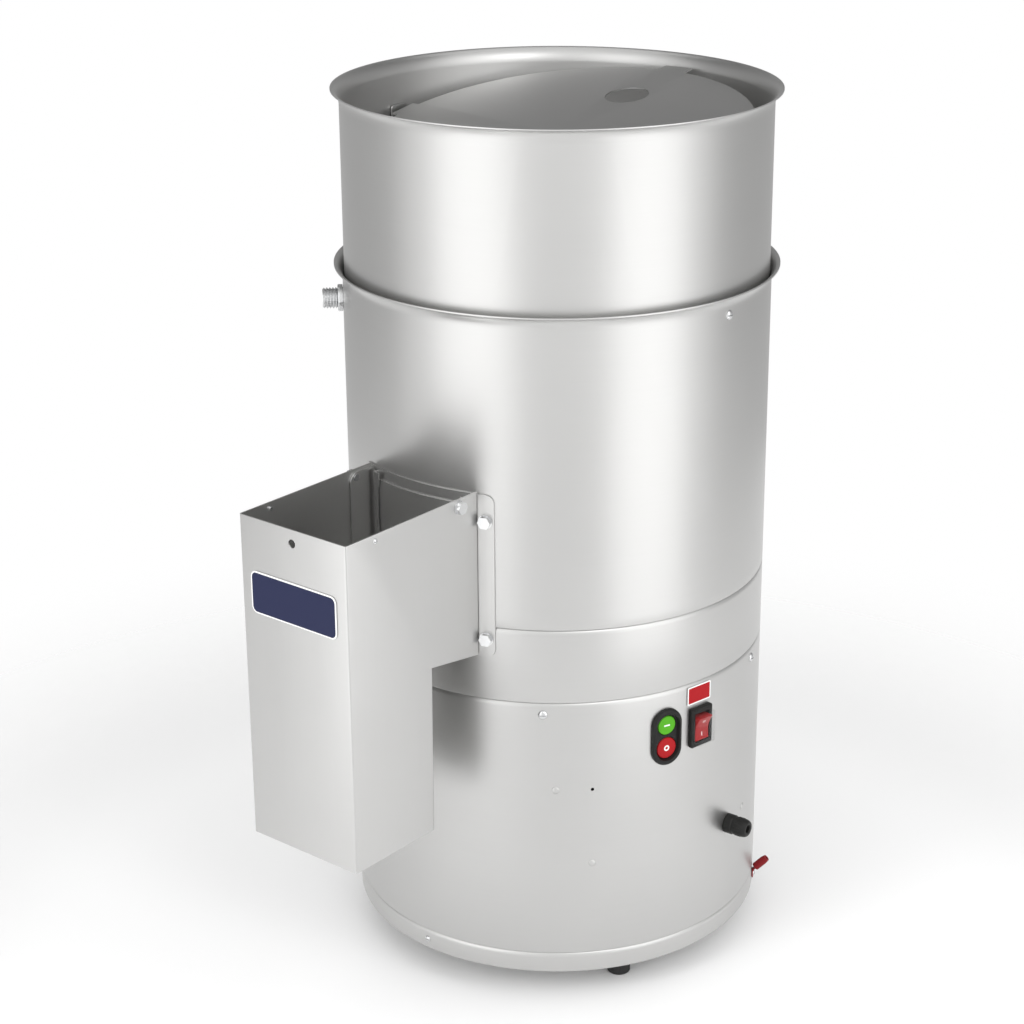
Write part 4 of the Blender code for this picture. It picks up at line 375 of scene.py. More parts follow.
class Solid:
    """A closed mesh in the making, in the drum's frame."""

    def __init__(self) -> None:
        """Starts empty."""
        self.bm = bmesh.new()

    def ring(self, outline: Outline, height: float, place: Matrix | None) -> list[bmesh.types.BMVert]:
        """Adds the points of an (x, y) outline at a height."""
        place = place or Matrix()
        return [self.bm.verts.new(place @ Vector((x, y, height))) for x, y in outline]

    def wall(self, lower: list[bmesh.types.BMVert], upper: list[bmesh.types.BMVert]) -> None:
        """Joins two rings by faces, leaving out the points that a ring at the axis repeats."""
        for i in range(len(lower)):
            j = (i + 1) % len(lower)
            corners = list(dict.fromkeys((lower[i], lower[j], upper[j], upper[i])))
            if len(corners) > 2:
                self.bm.faces.new(corners)

    def lathe(self, profile: Outline, place: Matrix | None = None, segments: int = 48) -> "Solid":
        """Turns a closed (radius, z) outline about local +Z.

        Args:
            profile: the outline, going round once.
            place: where the axis stands.
            segments: how many steps go round.

        Returns:
            This solid.
        """
        angles = [FULL_TURN * i / segments for i in range(segments)]
        rings = []
        for radius, z in profile:
            if abs(radius) < 1.0e-7:
                rings.append(self.ring([(0.0, 0.0)], z, place) * segments)
            else:
                circle = [(radius * math.cos(angle), radius * math.sin(angle)) for angle in angles]
                rings.append(self.ring(circle, z, place))
        for lower, upper in zip(rings, rings[1:] + rings[:1]):
            self.wall(lower, upper)
        return self

    def rod(self, radius: float, low: float, high: float, place: Matrix | None = None,
            segments: int = 48, edge: float = 0.0) -> "Solid":
        """A plain rod, with a small round on both ends where edge is given."""
        ends = [(radius, low), (radius, high)]
        if edge > 0.0:
            ends = arc(radius - edge, low + edge, edge, -90.0, 0.0, 4)
            ends += arc(radius - edge, high - edge, edge, 0.0, 90.0, 4)
        return self.lathe([(0.0, low)] + ends + [(0.0, high)], place, segments)

    def skin(self, outlines: list[Outline], heights: list[float], place: Matrix | None = None) -> "Solid":
        """Joins (x, y) outlines of equal length into one closed solid, each at its height."""
        rings = [self.ring(outline, height, place) for outline, height in zip(outlines, heights)]
        self.bm.faces.new(rings[0])
        self.bm.faces.new(rings[-1])
        for lower, upper in zip(rings, rings[1:]):
            self.wall(lower, upper)
        return self

    def prism(self, outline: Outline, low: float, high: float, place: Matrix | None = None) -> "Solid":
        """Stands a closed (x, y) outline up along local +Z."""
        return self.skin([outline, outline], [low, high], place)

    def box(self, low: tuple[float, float, float], high: tuple[float, float, float],
            place: Matrix | None = None) -> "Solid":
        """A plain box by its corners."""
        return self.prism(rectangle(low[0], low[1], high[0], high[1]), low[2], high[2], place)

    def across(self, outline: Outline, y0: float, y1: float) -> "Solid":
        """Stands an (x, z) outline across the machine from y0 to y1."""
        return self.prism(outline, -max(y0, y1), -min(y0, y1), XZ_TO_WORLD)

    def soften(self, width: float, chosen: Callable[[bmesh.types.BMEdge], bool],
               segments: int = 3) -> "Solid":
        """Rounds the chosen edges.

        Args:
            width: the bevel's width.
            chosen: says whether an edge is rounded.
            segments: how many steps cross the round.

        Returns:
            This solid.
        """
        bmesh.ops.recalc_face_normals(self.bm, faces=self.bm.faces)
        edges = [edge for edge in self.bm.edges if chosen(edge)]
        bmesh.ops.bevel(self.bm, geom=edges, offset=width, segments=segments, profile=0.5,
                        affect="EDGES", clamp_overlap=True)
        return self

    def loose(self, name: str) -> bpy.types.Object:
        """Hands the mesh over as an object in the drum's frame."""
        bmesh.ops.recalc_face_normals(self.bm, faces=self.bm.faces)
        mesh = bpy.data.meshes.new(name)
        self.bm.to_mesh(mesh)
        self.bm.free()
        return linked(name, mesh)


Steps = list[tuple[str, Solid]]


def linked(name: str, data: bpy.types.ID) -> bpy.types.Object:
    """Puts a new object into the scene."""
    thing = bpy.data.objects.new(name, data)
    bpy.context.collection.objects.link(thing)
    return thing


def sharp_edge(angle: float) -> Callable[[bmesh.types.BMEdge], bool]:
    """Chooses the edges that turn by more than an angle in degrees."""
    limit = math.radians(angle)
    return lambda edge: len(edge.link_faces) == 2 and edge.calc_face_angle(0.0) > limit


def settle(thing: bpy.types.Object) -> None:
    """Turns live modifiers into the object's own mesh."""
    bpy.context.view_layer.update()
    graph = bpy.context.evaluated_depsgraph_get()
    done = bpy.data.meshes.new_from_object(thing.evaluated_get(graph), depsgraph=graph)
    thing.modifiers.clear()
    thing.data = done


def joins(*tools: Solid) -> Steps:
    """Steps that add tools."""
    return [("UNION", tool) for tool in tools]


def cuts(*tools: Solid) -> Steps:
    """Steps that cut tools away."""
    return [("DIFFERENCE", tool) for tool in tools]


def carve(thing: bpy.types.Object, steps: Steps) -> None:
    """Works Booleans on an object, in order."""
    tools = []
    for operation, tool in steps:
        other = tool.loose(thing.name + "_tool")
        step = thing.modifiers.new(other.name, "BOOLEAN")
        step.operation = operation
        step.solver = "EXACT"
        step.object = other
        tools.append(other)
    settle(thing)
    for other in tools:
        bpy.data.objects.remove(other, do_unlink=True)


@dataclass
class Shop:
    datum: Datum

    def hand_in(self, thing: bpy.types.Object, finish: Finish, nodes: str = "", body: str = "machine",
                crease: float = 32.0) -> None:
        """Completes one piece.

        Args:
            thing: the piece, in the drum's frame.
            finish: its finish.
            nodes: the names of the nodes that it stands for, with spaces between them.
            body: the body that it rides on.
            crease: edges that turn further than this, in degrees, stay crisp.
        """
        mesh = thing.data
        mesh.transform(self.datum.matrix())
        mesh.materials.clear()
        mesh.materials.append(finish.build())
        for face in mesh.polygons:
            face.material_index = 0
        mesh.shade_smooth()
        mesh.set_sharp_from_angle(angle=math.radians(crease))
        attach(thing, body)
        if nodes:
            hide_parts(*nodes.split())
        LOG.info("%s: %d faces on %s", thing.name, len(mesh.polygons), body)

    def piece(self, name: str, solid: Solid, finish: Finish, nodes: str = "", steps: Steps | None = None,
              body: str = "machine", crease: float = 32.0) -> None:
        """Makes, carves and completes one piece.

        Args:
            name: the piece's name.
            solid: its starting shape.
            finish: its finish.
            nodes: the names of the nodes that it stands for, with spaces between them.
            steps: Booleans with their tools.
            body: the body that it rides on.
            crease: edges that turn further than this, in degrees, stay crisp.
        """
        thing = solid.loose(name)
        if steps:
            carve(thing, steps)
        self.hand_in(thing, finish, nodes, body, crease)

    def repaint(self, finish: Finish, nodes: str) -> None:
        """Gives CAD nodes that stay a procedural finish, by names with spaces between them."""
        for name in nodes.split():
            for material_slot in bpy.data.objects[name].material_slots:
                material_slot.material = finish.build()


# Parts that repeat, made by Geometry Nodes

class SeatedPart:
    """A small part that Geometry Nodes seat at many places, as one plain mesh."""

    sizes: dict[str, float] = {}
    crease: float = 32.0

    def __init__(self, name: str, finish: Finish, **changed: float) -> None:
        """Keeps the name, the finish and any size that differs from the part's own."""
        self.name = name
        self.finish = finish
        self.sizes = {**self.sizes, **changed}

    def part(self, sheet: NodeSheet, size: dict[str, Wire]) -> Wire:
        """Adds the nodes for one part, seated at z = 0 and facing +Z."""
        raise NotImplementedError

    def tree(self) -> bpy.types.NodeTree:
        """Builds the node tree: the part on every place, realized and painted."""
        tree = bpy.data.node_groups.new(self.name, "GeometryNodeTree")
        sheet = NodeSheet(tree)
        tree.interface.new_socket("places", in_out="INPUT", socket_type="NodeSocketGeometry")
        for key, value in self.sizes.items():
            socket = tree.interface.new_socket(key, in_out="INPUT", socket_type="NodeSocketFloat")
            socket.default_value = value
        tree.interface.new_socket("parts", in_out="OUTPUT", socket_type="NodeSocketGeometry")
        places = sheet.add("NodeGroupInput")
        size = {key: Wire(sheet, places.socket.node.outputs[key]) for key in self.sizes}
        turn = sheet.add("GeometryNodeInputNamedAttribute", {"Name": "turned"}, data_type="FLOAT_VECTOR")
        seated = sheet.add("GeometryNodeInstanceOnPoints", {
            "Points": places, "Instance": self.part(sheet, size),
            "Rotation": sheet.add("FunctionNodeEulerToRotation", {0: turn})})
        real = sheet.add("GeometryNodeRealizeInstances", {0: seated})
        painted = sheet.add("GeometryNodeSetMaterial", {0: real, "Material": self.finish.build()})
        sheet.add("NodeGroupOutput", {0: painted})
        return tree

    def seat(self, shop: Shop, places: list[Matrix], nodes: str = "") -> None:
        """Seats the part and completes it as one piece.

        Args:
            shop: where it is finished.
            places: where it seats, local +Z outward, in the drum's frame.
            nodes: the names of the nodes that it stands for, with spaces between them.
        """
        mesh = bpy.data.meshes.new(self.name)
        mesh.from_pydata([place.translation for place in places], [], [])
        turn = mesh.attributes.new("turned", "FLOAT_VECTOR", "POINT")
        for index, place in enumerate(places):
            turn.data[index].vector = place.to_euler("XYZ")
        thing = linked(self.name, mesh)
        thing.modifiers.new("seat", "NODES").node_group = self.tree()
        settle(thing)
        shop.hand_in(thing, self.finish, nodes, crease=self.crease)


def lifted(sheet: NodeSheet, shape: Wire, z: object) -> Wire:
    """Lifts a shape along Z by a value or wire."""
    lift = sheet.add("ShaderNodeCombineXYZ", {2: z})
    return sheet.add("GeometryNodeTransform", {"Geometry": shape, "Translation": lift})


def cylinder(sheet: NodeSheet, vertices: int, radius: Wire, depth: Wire) -> Wire:
    """Adds a cylinder about its own middle."""
    values = {"Vertices": vertices, "Radius": radius, "Depth": depth}
    return sheet.add("GeometryNodeMeshCylinder", values)


class Dome(SeatedPart):
    """A plain round rivet head."""

    sizes = {"radius": 3.3 * MM, "height": 1.0 * MM}

    def part(self, sheet: NodeSheet, size: dict[str, Wire]) -> Wire:
        """A flattened sphere, half of it below the seat."""
        ball = sheet.add("GeometryNodeMeshUVSphere", {"Segments": 28, "Rings": 16, "Radius": 1.0})
        shape = sheet.add("ShaderNodeCombineXYZ", {0: size["radius"], 1: size["radius"], 2: size["height"]})
        return sheet.add("GeometryNodeTransform", {"Geometry": ball, "Scale": shape})


class DomeScrew(Dome):
    """A round head with a straight slot."""

    sizes = {"radius": 4.3 * MM, "height": 2.4 * MM, "slot_width": 1.1 * MM, "slot_depth": 1.0 * MM,
             "shank": 2.0 * MM, "reach": 6.0 * MM}
    crease = 25.0

    def part(self, sheet: NodeSheet, size: dict[str, Wire]) -> Wire:
        """A flattened sphere on a shank, cut by the slot."""
        slot = sheet.add("ShaderNodeCombineXYZ", {0: size["radius"] * 2.4, 1: size["slot_width"],
                                                  2: size["slot_depth"] * 2.0})
        block = lifted(sheet, sheet.add("GeometryNodeMeshCube", {"Size": slot}), size["height"])
        head = sheet.add("GeometryNodeMeshBoolean", {"Mesh 1": super().part(sheet, size), "Mesh 2": block},
                         operation="DIFFERENCE")
        shank = lifted(sheet, cylinder(sheet, 16, size["shank"], size["reach"]), size["reach"] * -0.5)
        return sheet.add("GeometryNodeJoinGeometry", {0: [head, shank]})


class HexBolt(SeatedPart):
    """A chamfered hex head on a flat washer."""

    sizes = {"half_flat": 5.0 * MM, "height": 4.0 * MM, "washer": 6.2 * MM, "washer_height": 1.2 * MM,
             "shank": 3.0 * MM, "reach": 4.0 * MM}
    crease = 25.0

    def part(self, sheet: NodeSheet, size: dict[str, Wire]) -> Wire:
        """A hexagon cut by a cone, over a washer and a shank."""
        corner = size["half_flat"] * (1.0 / math.cos(math.pi / 6.0))
        hexagon = cylinder(sheet, 6, corner, size["height"])
        cone = sheet.add("GeometryNodeMeshCone", {
            "Vertices": 40, "Radius Top": corner * 0.90, "Radius Bottom": corner * 1.30,
            "Depth": size["height"] * 1.001})
        shapes = [lifted(sheet, hexagon, size["washer_height"] + size["height"] * 0.5),
                  lifted(sheet, cone, size["washer_height"])]
        head = sheet.add("GeometryNodeMeshBoolean", {"Mesh 2": shapes}, operation="INTERSECT")
        washer = lifted(sheet, cylinder(sheet, 40, size["washer"], size["washer_height"]),
                        size["washer_height"] * 0.5)
        shank = lifted(sheet, cylinder(sheet, 20, size["shank"], size["reach"]), size["reach"] * -0.5)
        return sheet.add("GeometryNodeJoinGeometry", {0: [head, washer, shank]})


class GripRib(SeatedPart):
    """A straight rib, its length along local Z."""

    sizes = {"radius": 0.38 * MM, "length": 6.2 * MM}

    def part(self, sheet: NodeSheet, size: dict[str, Wire]) -> Wire:
        """A slim eight-sided rod."""
        return lifted(sheet, cylinder(sheet, 8, size["radius"], size["length"]), size["length"] * 0.5)


# Sheet shells

@dataclass(frozen=True)
class DrumSizes:
    """Radii and heights that the shells share."""

    radius: float = 190.0 * MM
    fillet: float = 2.4 * MM
    shoulder: float = 5.0 * MM
    base_top: float = 19.4 * MM
    housing_top: float = 266.7 * MM
    band_top: float = 334.8 * MM
    flare_start: float = 600.0 * MM
    drum_top: float = 613.3 * MM
    drum_rim: float = 197.3 * MM
    skirt_drop: float = 14.0 * MM
    segments: int = 192

    def skirt(self) -> float:
        """The stepped-in skirt's outer radius."""
        return self.radius - self.fillet - GAP


DRUM = DrumSizes()
HOPPER_SCREWS = ((-92.0, 595.2 * MM), (88.0, 595.2 * MM))
INLET = (134.5, 581.3 * MM)
BUTTONS = (-111.3, 223.0 * MM)
ROCKER = (-100.0, 223.5 * MM)
GLAND = (-86.3, 107.1 * MM)
EARTH = (-60.0, 9.3 * MM)
DRAIN = (15.0, 234.0 * MM)
SUMP_RADIUS = 150.0 * MM
FOOT_RADIUS = 155.0 * MM
LOW_BOLTS, HIGH_BOLTS = mm(324.4, 431.8)
BOLT_SWING = math.degrees(math.asin(65.5 * MM / DRUM.radius))
BOLT_HOLE = 3.3 * MM
BOX_BOLT = mm(-206.0, 7.0)
BOX_SCREW = mm(-308.0, 5.6)
PIVOT_Z = 716.0 * MM
WINDOW = (mm(-194.0, -48.0, 346.0), mm(-95.0, 48.0, 440.0))


def on_drum(spot: tuple[float, float], up: float = 0.0) -> Matrix:
    """A place on the drum's wall by azimuth and height: local +Z outward, +Y up."""
    return on_wall(spot[0], DRUM.radius + up, spot[1])


def drill(spot: tuple[float, float], radius: float, depth: float = 6.0 * MM) -> Solid:
    """A tool that drills inward through the drum's wall."""
    return Solid().rod(radius, -depth, OVERRUN, on_drum(spot), 32)


def plate_bolts(*heights: float) -> list[tuple[float, float]]:
    """Spots of the neck plate's bolts at some heights."""
    return [(azimuth, z) for z in heights for azimuth in (180.0 - BOLT_SWING, 180.0 + BOLT_SWING)]


def rolled(profile: Outline) -> Solid:
    """A profile turned as finely as the drum is."""
    return Solid().lathe(profile, segments=DRUM.segments)


def bend(cx: float, cy: float, radius: float, start: float, end: float, steps: int) -> Outline:
    """An arc whose lengths are in millimetres."""
    return arc(*mm(cx, cy, radius), start, end, steps)


def rolled_edge(top: float) -> Outline:
    """The rounded shoulder on a lower shell's top, outside to inside."""
    centre = DRUM.radius - DRUM.fillet
    outer = []
    inner = []
    for x, z in arc(0.0, 0.0, 1.0, 0.0, 90.0, 10):
        outer.append((centre + DRUM.fillet * x, top - DRUM.shoulder * (1.0 - z)))
        inner.append((centre + (DRUM.fillet - SHEET) * x, top - SHEET - (DRUM.shoulder - SHEET) * (1.0 - z)))
    return outer + inner[::-1]


def hoops(radius: float, *heights: float) -> Outline:
    """Extra rings on a straight wall, at millimetres, which keep a hole's shading close to it."""
    return [(radius, z * MM) for z in heights]


def skirt_outside(seam: float) -> Outline:
    """The skirt that drops inside the shell below, outer side."""
    edge = 0.5 * MM
    low = [(DRUM.skirt(), seam - DRUM.skirt_drop), (DRUM.skirt(), seam + GAP)]
    return low + arc(DRUM.radius - edge, seam + GAP + edge, edge, -90.0, 0.0, 3)


def skirt_inside(seam: float) -> Outline:
    """The skirt's inner side."""
    inner = DRUM.skirt() - SHEET
    return [(DRUM.radius - SHEET, seam + GAP + SHEET), (inner, seam + GAP + SHEET),
            (inner, seam - DRUM.skirt_drop)]


def flare(radius: float, start: float, rim: float, top: float, sheet: float, steps: int = 14) -> Outline:
    """A rim that curves outward on a quarter ellipse, up its outside and back down its inside.

    Args:
        radius: the wall's outer radius.
        start: where the curve begins.
        rim: the rim's outer radius.
        top: the rim's top.
        sheet: the sheet's thickness.
        steps: how many steps the curve has.

    Returns:
        The outline's points.
    """
    out: Outline = []
    inside: Outline = []
    for index in range(steps + 1):
        angle = math.pi / 2.0 * index / steps
        r = radius + (rim - radius) * (1.0 - math.cos(angle))
        z = start + (top - sheet - start) * math.sin(angle)
        out.append((r, z))
        inside.append((r - sheet * (1.0 - math.sin(angle)), z + sheet * math.sin(angle)))
    return out + inside[::-1]


@dataclass
class Shells:
    """The stack of rolled sheet shells, with the lining in the chamber."""

    base_sheet: float = 2.0 * MM
    floor_top: float = 272.0 * MM
    floor_low: float = 268.0 * MM
    hub_top: float = 282.0 * MM
    hub_step: float = 7.6 * MM
    post_azimuth: float = 60.0
    lining_sheet: float = 5.0 * MM

    def build(self, shop: Shop) -> None:
        """Makes every shell from the bottom up."""
        for make in (self.base, self.feet, self.housing, self.band, self.chamber, self.lining):
            make(shop)

    def base(self, shop: Shop) -> None:
        """The pan that everything stands on, with its vents and holes."""
        edge = DRUM.fillet - SHEET
        profile = [(0.0, 0.0)] + arc(DRUM.radius - edge, edge, edge, -90.0, 0.0, 6)
        profile += rolled_edge(DRUM.base_top)
        profile += [(DRUM.radius - SHEET, self.base_sheet), (0.0, self.base_sheet)]
        top = 3.0 * self.base_sheet
        holes = Solid()
        for azimuth in spread(6, 30.0):
            holes.prism(rounded(*mm(46.0, 7.0, 3.2)), -OVERRUN, top, round_axis(azimuth, 122.0 * MM))
        for azimuth in spread(3):
            holes.rod(3.3 * MM, -OVERRUN, top, round_axis(azimuth, FOOT_RADIUS), 24)
        for x, y in path((55.0, 99.0), (155.0, 65.0)):
            for side in SIDES:
                holes.rod(2.8 * MM, -OVERRUN, top, at(turn=self.post_azimuth) @ at(x, side * y), 20)
        shop.piece("base_sheet", rolled(profile), SATIN, "base_pan", cuts(holes))

    def feet(self, shop: Shop) -> None:
        """The three rubber feet, tapered, with their snap plugs in the pan."""
        profile = path((0.0, -17.0), (6.5, -17.0), (6.5, -26.0)) + bend(9.0, -24.5, 1.5, -90.0, -5.0, 6)
        profile += path((10.95, -3.0)) + bend(10.0, -1.3, 1.0, 0.0, 90.0, 4)
        profile += path((3.0, -GAP_MM), (3.0, 2.3), (5.0, 2.3), (5.0, 6.8), (3.0, 6.8), (3.0, 8.0))
        profile += path((0.0, 8.0))
        feet = Solid()
        for azimuth in spread(3):
            feet.lathe(profile, round_axis(azimuth, FOOT_RADIUS))
        shop.piece("rubber_feet", feet, RUBBER, "rubber_foot_1 rubber_foot_2 rubber_foot_3")

    def housing(self, shop: Shop) -> None:
        """The lower shell, cut for the switches, gland, earth screw and drain."""
        profile = skirt_outside(DRUM.base_top) + hoops(DRUM.radius, 99.0, 115.0, 180.0, 186.0, 198.0, 249.0)
        profile += rolled_edge(DRUM.housing_top) + skirt_inside(DRUM.base_top)
        tools = [drill(EARTH, 2.3 * MM), drill(GLAND, 6.3 * MM), drill((-132.1, 183.0 * MM), 1.5 * MM),
                 drill(DRAIN, 14.3 * MM)]
        openings = ((BUTTONS, pill(*mm(27.6, 46.6), 12)), (ROCKER, rounded(*mm(23.6, 32.6, 0.5), 2)))
        for spot, outline in openings:
            tools.append(Solid().prism(outline, -7.0 * MM, OVERRUN, on_drum(spot)))
        shop.piece("housing_sheet", rolled(profile), SATIN, "motor_housing", cuts(*tools))

    def band(self, shop: Shop) -> None:
        """The plain band with the chamber's floor in it."""
        ledge = self.hub_top - self.hub_step
        seal, shaft = mm(20.3, 14.0)
        inner = DRUM.skirt() - SHEET
        profile = skirt_outside(DRUM.housing_top) + hoops(DRUM.radius, 320.0, 329.0)
        profile += rolled_edge(DRUM.band_top)
        profile += [(DRUM.radius - SHEET, self.floor_top), (42.0 * MM, self.floor_top),
                    (38.0 * MM, self.hub_top), (seal, self.hub_top), (seal, ledge), (shaft, ledge),
                    (shaft, self.floor_low), (inner, self.floor_low),
                    (inner, DRUM.housing_top - DRUM.skirt_drop)]
        tools = [drill(spot, BOLT_HOLE, 8.0 * MM) for spot in plate_bolts(LOW_BOLTS)]
        tools.append(Solid().rod(15.0 * MM, self.floor_low - OVERRUN, self.floor_top + OVERRUN,
                                 round_axis(DRAIN[0], SUMP_RADIUS), 40))
        shop.piece("band_sheet", rolled(profile), SATIN, "chamber_pan", cuts(*tools))

    def chamber(self, shop: Shop) -> None:
        """The chamber's shell with its flare and its window to the chute."""
        heights = (344.0, 443.0, 570.0, 591.5, 599.0)
        profile = skirt_outside(DRUM.band_top) + hoops(DRUM.radius, *heights)
        profile += flare(DRUM.radius, DRUM.flare_start, DRUM.drum_rim, DRUM.drum_top, SHEET)
        profile += hoops(DRUM.radius - SHEET, *heights[::-1]) + skirt_inside(DRUM.band_top)
        tools = [drill(spot, 2.3 * MM) for spot in HOPPER_SCREWS]
        tools += [drill(INLET, 9.65 * MM), Solid().box(*WINDOW)]
        tools += [drill(spot, BOLT_HOLE, 8.0 * MM) for spot in plate_bolts(LOW_BOLTS, HIGH_BOLTS)]
        shop.piece("chamber_sheet", rolled(profile), SATIN, "drum_shell", cuts(*tools))

    def lining(self, shop: Shop) -> None:
        """The abrasive lining on the chamber's wall."""
        outer = DRUM.radius - SHEET - GAP
        low, high = mm(345.0, 560.0)
        inner = outer - self.lining_sheet
        tools = [drill(spot, 3.6 * MM, 9.0 * MM) for spot in plate_bolts(HIGH_BOLTS)]
        tools.append(Solid().box(*WINDOW))
        shop.piece("grit_lining", rolled([(outer, low), (outer, high), (inner, high), (inner, low)]), GRIT,
                   "abrasive_lining", cuts(*tools))


@dataclass
class LoadingRing:
    """The hopper ring in the drum's flare, and the pivots that its lid swings on."""

    low: float = 585.0 * MM
    flare_start: float = 753.0 * MM
    top: float = 766.8 * MM
    rim: float = 195.9 * MM
    sheet: float = 1.0 * MM
    plate_sheet: float = 2.0 * MM
    stud_r: float = 3.0 * MM

    def build(self, shop: Shop) -> None:
        """Makes the ring, the pivot plates and the lid's clips."""
        outer = DRUM.radius - SHEET - GAP
        wall = outer - self.sheet
        profile = [(outer, self.low)] + hoops(outer, 604.0)
        profile += flare(outer, self.flare_start, self.rim, self.top, self.sheet)
        profile += hoops(wall, 604.0) + [(wall, self.low)]
        tools = [drill(spot, 2.3 * MM) for spot in HOPPER_SCREWS]
        tools.append(Solid().box(mm(-14.5, -6.0, -6.4), mm(14.5, 14.5, 4.0), on_drum(INLET)))
        shop.piece("loading_ring", rolled(profile), SATIN, "hopper_ring", cuts(*tools))
        inner = wall * math.cos(math.pi / 40.0)
        plate_out = math.sqrt(inner ** 2 - (10.0 * MM) ** 2) - GAP
        for number, turn in enumerate((0.0, 180.0), 1):
            place = at(z=PIVOT_Z, turn=turn) @ turned(-90.0, "X")
            plate = Solid().prism(rounded(*mm(20.0, 22.0, 3.0), 5), plate_out - self.plate_sheet, plate_out,
                                  place)
            stud = Solid().rod(self.stud_r, 176.0 * MM, plate_out - self.plate_sheet / 2.0, place, 32,
                               0.4 * MM)
            shop.piece(f"pivot_plate_{number}", plate, SATIN_BOX, f"lid_pivot_{number}", joins(stud))
            clip = path((3.05, 177.2), (6.2, 177.2), (6.2, 178.4), (3.05, 178.4))
            shop.piece(f"stud_clip_{number}", Solid().lathe(clip, place, 32), DARK_STEEL)


@dataclass
class InnerLid:
    """The swinging disc, drawn level about its pivot and then tilted to rest."""

    radius: float = 174.0 * MM
    rim_drop: float = 5.0 * MM
    plane_up: float = 7.0 * MM
    edge: float = 1.0 * MM
    tilt: float = 10.1
    tab_half: float = 14.5 * MM
    tab_reach: float = 185.0 * MM
    ear: float = 179.0 * MM
    hole_x: float = 104.0 * MM
    hole_r: float = 20.0 * MM
    stud_hole: float = 3.3 * MM

    def build(self, shop: Shop) -> None:
        """Makes the lid."""
        low = self.plane_up
        high = low + SHEET
        rim = self.radius - SHEET
        profile = [(0.0, low), (rim, low), (rim, low - self.rim_drop), (self.radius, low - self.rim_drop)]
        profile += arc(self.radius - self.edge, high - self.edge, self.edge, 0.0, 90.0, 5) + [(0.0, high)]
        inner = self.radius - OVERRUN
        ear_out = self.ear + SHEET
        plain = rectangle(inner, low, self.tab_reach, high)
        eared = [(inner, low), (self.ear, low), (self.ear, -low), (ear_out, -low), (ear_out, high),
                 (inner, high)]
        tabs = Solid()
        for turn, outline in ((0.0, plain), (90.0, eared), (-90.0, eared)):
            tabs.prism(outline, -self.tab_half, self.tab_half, at(turn=turn) @ XZ_TO_WORLD)
        holes = Solid().rod(self.hole_r, low - OVERRUN, high + OVERRUN, at(x=self.hole_x), 64)
        for side in SIDES:
            near, far = sorted((side * (self.ear - 1.0 * MM), side * (self.ear + 2.0 * MM)))
            holes.rod(self.stud_hole, near, far, turned(90.0, "X"), 32)
        thing = Solid().lathe(profile, segments=160).loose("swing_lid")
        carve(thing, joins(tabs) + cuts(holes))
        thing.data.transform(at(z=PIVOT_Z) @ turned(-self.tilt, "Y"))
        shop.hand_in(thing, SATIN, "inner_lid", "lid")


# Chute

def wall_arc(radius: float, y0: float, y1: float, steps: int = 30) -> Outline:
    """The drum's wall on the -X side at a radius, from y0 to y1."""
    rows = [y0 + (y1 - y0) * index / steps for index in range(steps + 1)]
    return [(-math.sqrt(radius ** 2 - y ** 2), y) for y in rows]


